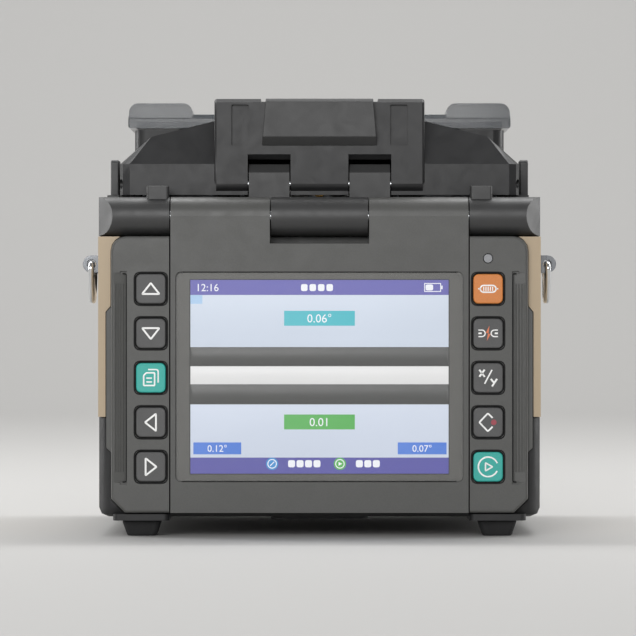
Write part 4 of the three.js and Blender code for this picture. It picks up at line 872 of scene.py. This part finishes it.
well_low, well_high = corners("heater_trough")
well_y = (well_low[1] + well_high[1]) / 2
strip_ceramic = enamel("heating_strip_glaze", "#8c3b2a", 0.3, 0.5)

# ---------------------------------------------------------------- bench under the cover
# The splicing bench is clear-anodised aluminium with a zirconia groove block. The electrodes are
# brass holders with a ground tip, and the objectives are black barrels with coated glass.
anodised = bare_metal("clear_anodised_aluminium", "#a9acaf", 0.38, brush=0.35, along="X")
dark_anodised = bare_metal("black_anodised_aluminium", "#3c3d40", 0.42, brush=0.35, along="X")
zirconia = enamel("zirconia_ceramic", "#dcdad3", 0.22, 0.4)
brass = bare_metal("turned_brass", "#b98f4c", 0.24, brush=0.2, along="Y")
barrel_black = bare_metal("objective_black", "#26272a", 0.4, brush=0.2, along="Z")
finish("stage_base", anodised, edge=0.25)
finish("v_groove_block", zirconia, edge=0.12)
for node in ("electrode_front", "electrode_rear"):
    finish(node, brass, edge=0.12, sharp=40)
for node in ("objective_front", "objective_rear"):
    finish(node, barrel_black, edge=0.2, sharp=40)
for side in ("left", "right"):
    finish(f"fibre_clamp_{side}", dark_anodised, edge=0.25)
    finish(f"sheath_stage_{side}", anodised, edge=0.25)
    finish(f"sheath_lid_{side}", dark_anodised, edge=0.25)
led_lens = enamel("led_bar_lens", "#dfe3e6", 0.2)
finish("led_bar", led_lens, edge=0.2)

# ---------------------------------------------------------------- inside, back and underside
# The chassis is cast, the circuit board has green solder resist, the small metal parts are plated,
# and the feet, the port door and the release button are soft black rubber or matt plastic.
chassis_cast = enamel("chassis_cast_grey", "#77797b", 0.5, 0.7)
finish("chassis", chassis_cast, edge=0.3)
soft_black = moulded_abs("soft_black_rubber", "#1b1b1c", 0.72, grain=0.6, depth=0.025)
for node in ("foot_front_left", "foot_front_right", "foot_rear_left", "foot_rear_right", "port_door"):
    finish(node, soft_black, edge=0.4)
finish("battery_release", moulded_abs("release_grey", "#6a6a69", 0.5), edge=0.35)
finish("dc_jack", moulded_abs("jack_black", "#161617", 0.35, grain=0.3), edge=0.15)
plated = bare_metal("nickel_plate", "#c2c3c2", 0.22)
finish("usb_socket", plated, edge=0.1)
finish("tripod_socket", brass, edge=0.15, sharp=40)


def circuit_board(name):
    """Green solder resist over copper: the tracks are bands of a raised, lighter green."""
    material = bpy.data.materials.new(name)
    material.use_nodes = True
    surface = material.node_tree.nodes["Principled BSDF"]
    place = add_node(material, "ShaderNodeTexCoord").outputs["Object"]
    cells = add_node(
        material, "ShaderNodeTexVoronoi", {"distance": "CHEBYCHEV", "feature": "F2"},
        {"Vector": place, "Scale": 1 / (3.2 * MM)},
    )
    track = add_node(
        material, "ShaderNodeMath", {"operation": "PINGPONG"}, {0: cells.outputs["Distance"], 1: 0.12}
    )
    edge = add_node(material, "ShaderNodeMath", {"operation": "GREATER_THAN"}, {0: track.outputs[0], 1: 0.06})
    tone = add_node(
        material, "ShaderNodeMix", {"data_type": "RGBA"},
        {"Factor": edge.outputs[0], 6: linear("#0e4a2c"), 7: linear("#1c6a42")},
    )
    relief = add_node(
        material, "ShaderNodeBump", None, {"Strength": 0.4, "Distance": 0.03 * MM, "Height": edge.outputs[0]}
    )
    material.node_tree.links.new(tone.outputs[2], surface.inputs["Base Color"])
    material.node_tree.links.new(relief.outputs["Normal"], surface.inputs["Normal"])
    surface.inputs["Roughness"].default_value = 0.35
    return material


finish("main_board", circuit_board("solder_resist"), edge=0)

# ---------------------------------------------------------------- small parts of heater and bench
# A glazed strip along the trough heats the splice sleeve, and coated glass closes the top of each
# objective. The glass is dark with a violet sheen, as lens coatings are.
add_piece(
    "heater_strip",
    [block(-30, 30, well_y - 1.2, well_y + 1.2, well_low[2] + 0.6, well_low[2] + 1.0, 0.3)],
    "frame", strip_ceramic,
)


def disc(centre, radius, height, normal=(0, 0, 1), dish=0.15, sides=28):
    """A turned disc that stands on a face: its rim is rounded and its middle is domed by dish."""
    around = np.linspace(0, 2 * math.pi, sides, endpoint=False)
    profile = [
        (radius, 0), (radius, height * 0.7), (radius * 0.93, height),
        (radius * 0.5, height + dish * 0.7), (radius * 0.1, height + dish),
    ]
    rings = np.stack(
        [np.stack([r * np.cos(around), r * np.sin(around), np.full(sides, h)], -1) for r, h in profile]
    )
    rotation = np.array(Vector(normal).to_track_quat("Z", "Y").to_matrix())
    points, faces = loft(rings)
    return points @ rotation.T + np.array(centre), faces


coated_glass = bpy.data.materials.new("coated_lens_glass")
coated_glass.use_nodes = True
surface = coated_glass.node_tree.nodes["Principled BSDF"]
surface.inputs["Base Color"].default_value = linear("#1b2140")
surface.inputs["Roughness"].default_value = 0.04
surface.inputs["Coat Weight"].default_value = 1.0
surface.inputs["Coat Tint"].default_value = linear("#9a86d8")
for name in ("front", "rear"):
    low, high = corners(f"objective_{name}")
    middle = (low + high) / 2
    add_piece(
        f"objective_{name}_glass", [disc((middle[0], middle[1], high[2]), 2.2, 0.12)],
        "frame", coated_glass,
    )

# ---------------------------------------------------------------- back, battery and underside
# The battery has a charge gauge of four green lights and a black test button on its outer face.
# Blackened steel screws hold the back cover and the underside.
back_low, back_high = corners("rear_cover")
back_y = back_high[1]
add_piece(
    "rear_cover_screws",
    [screw((x, back_y - 0.75, z), (0, 1, 0), 1.9, 0.7, "hex")
     for x in (-68, 68) for z in (back_low[2] + 6, back_high[2] - 6)],
    "frame", fixing_steel,
)
tub_low = corners("lower_tub")[0]
add_piece(
    "underside_screws",
    [screw((x, y, tub_low[2] + 0.6), (0, 0, -1), 1.9, 0.6) for x in (-64, 64) for y in (-34, 0, 34)],
    "frame", fixing_steel,
)
pack_low, pack_high = corners("battery_pack")
gauge_y, gauge_z, gauge_pitch = pack_high[1] - 0.05, pack_high[2] - 5.5, 4.2
gauge_lens = enamel("gauge_lens_green", "#3c9a62", 0.25)
add_piece(
    "battery_gauge",
    [disc((pack_low[0] + 8 + gauge_pitch * i, gauge_y, gauge_z), 1.0, 0.2, (0, 1, 0)) for i in range(4)],
    "battery", gauge_lens,
)
add_piece(
    "battery_test_button",
    [disc((pack_low[0] + 27, gauge_y, gauge_z), 1.7, 0.3, (0, 1, 0))],
    "battery", soft_black,
)

# ---------------------------------------------------------------- grip lines and key surrounds
# Beside each key column a fine groove ends in two short hooks, drawn as a near-black line of painted shade,
# with ribs for the hand outside it.
# A near-black line of painted shade, standing for the gap's shadow, runs round each key's well. All of them
# lie on the fascia's own surface.
fascia_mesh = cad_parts["front_fascia"].data
fascia_tree = BVHTree.FromPolygons(
    [tuple(v.co) for v in fascia_mesh.vertices], [tuple(p.vertices) for p in fascia_mesh.polygons]
)


def fascia_y(x, z):
    """How far forward the fascia's surface is at a place on the front, in millimetres."""
    hit = fascia_tree.ray_cast(Vector((x, -200, z)) * MM, Vector((0, 1, 0)))[0]
    return hit.y / MM


groove_x, groove_low, groove_high, groove_width = 65.3, 18.6, 89.0, 0.42
rib_pitch, rib_width = 0.95, 0.5
groove_shade_parts, rib_parts = [], []
for side in (-1, 1):
    base = fascia_y(side * (groove_x - 0.6), 54)
    hook_x = side * (groove_x + 1.3)
    line_x = side * groove_x
    path = [(hook_x, groove_high), (line_x, groove_high), (line_x, groove_low), (hook_x, groove_low)]
    groove_shade_parts.append(ribbon(fillet(path, 0.6, 4, loop=False), groove_width, base, 0.03))
    for i in range(4):
        x = side * (groove_x + 1.15 + i * rib_pitch)
        depth = min(fascia_y(x + d, z) for d in (-rib_width / 2, rib_width / 2) for z in (24, 54, 84))
        around = np.linspace(-0.15, math.pi + 0.15, 9)
        outline = np.stack([rib_width / 2 * np.cos(around), -0.28 * np.sin(around)], -1) + [x, depth + 0.02]
        rings = np.stack([np.insert(outline, 2, z, axis=1) for z in (groove_low + 3.4, groove_high - 3.4)])
        rib_parts.append(loft(rings))
# Painted shade: the shaded side of each groove is drawn as a thin near-black ribbon on the fascia's surface.
add_piece("grip_groove_painted_shade", groove_shade_parts, "frame", gap_shade_black)
add_piece("grip_ribs", rib_parts, "frame", housing_abs)

well_shade_line_parts = []
for node in ("key_right", "key_left", "key_menu", "key_down", "key_up", "key_run", "key_reset", "key_view",
             "key_arc", "key_heat"):
    x, z, _ = centre_of(node)
    path = rounded_box(x - 5.62, x + 5.62, z - 5.62, z + 5.62, 2.2)
    well_shade_line_parts.append(ribbon(path, 0.5, front_y, 0.03, loop=True))
# Painted shade: the shadow of the gap round each key is drawn as a near-black line.
add_piece("key_well_painted_shade_lines", well_shade_line_parts, "frame", gap_shade_black)
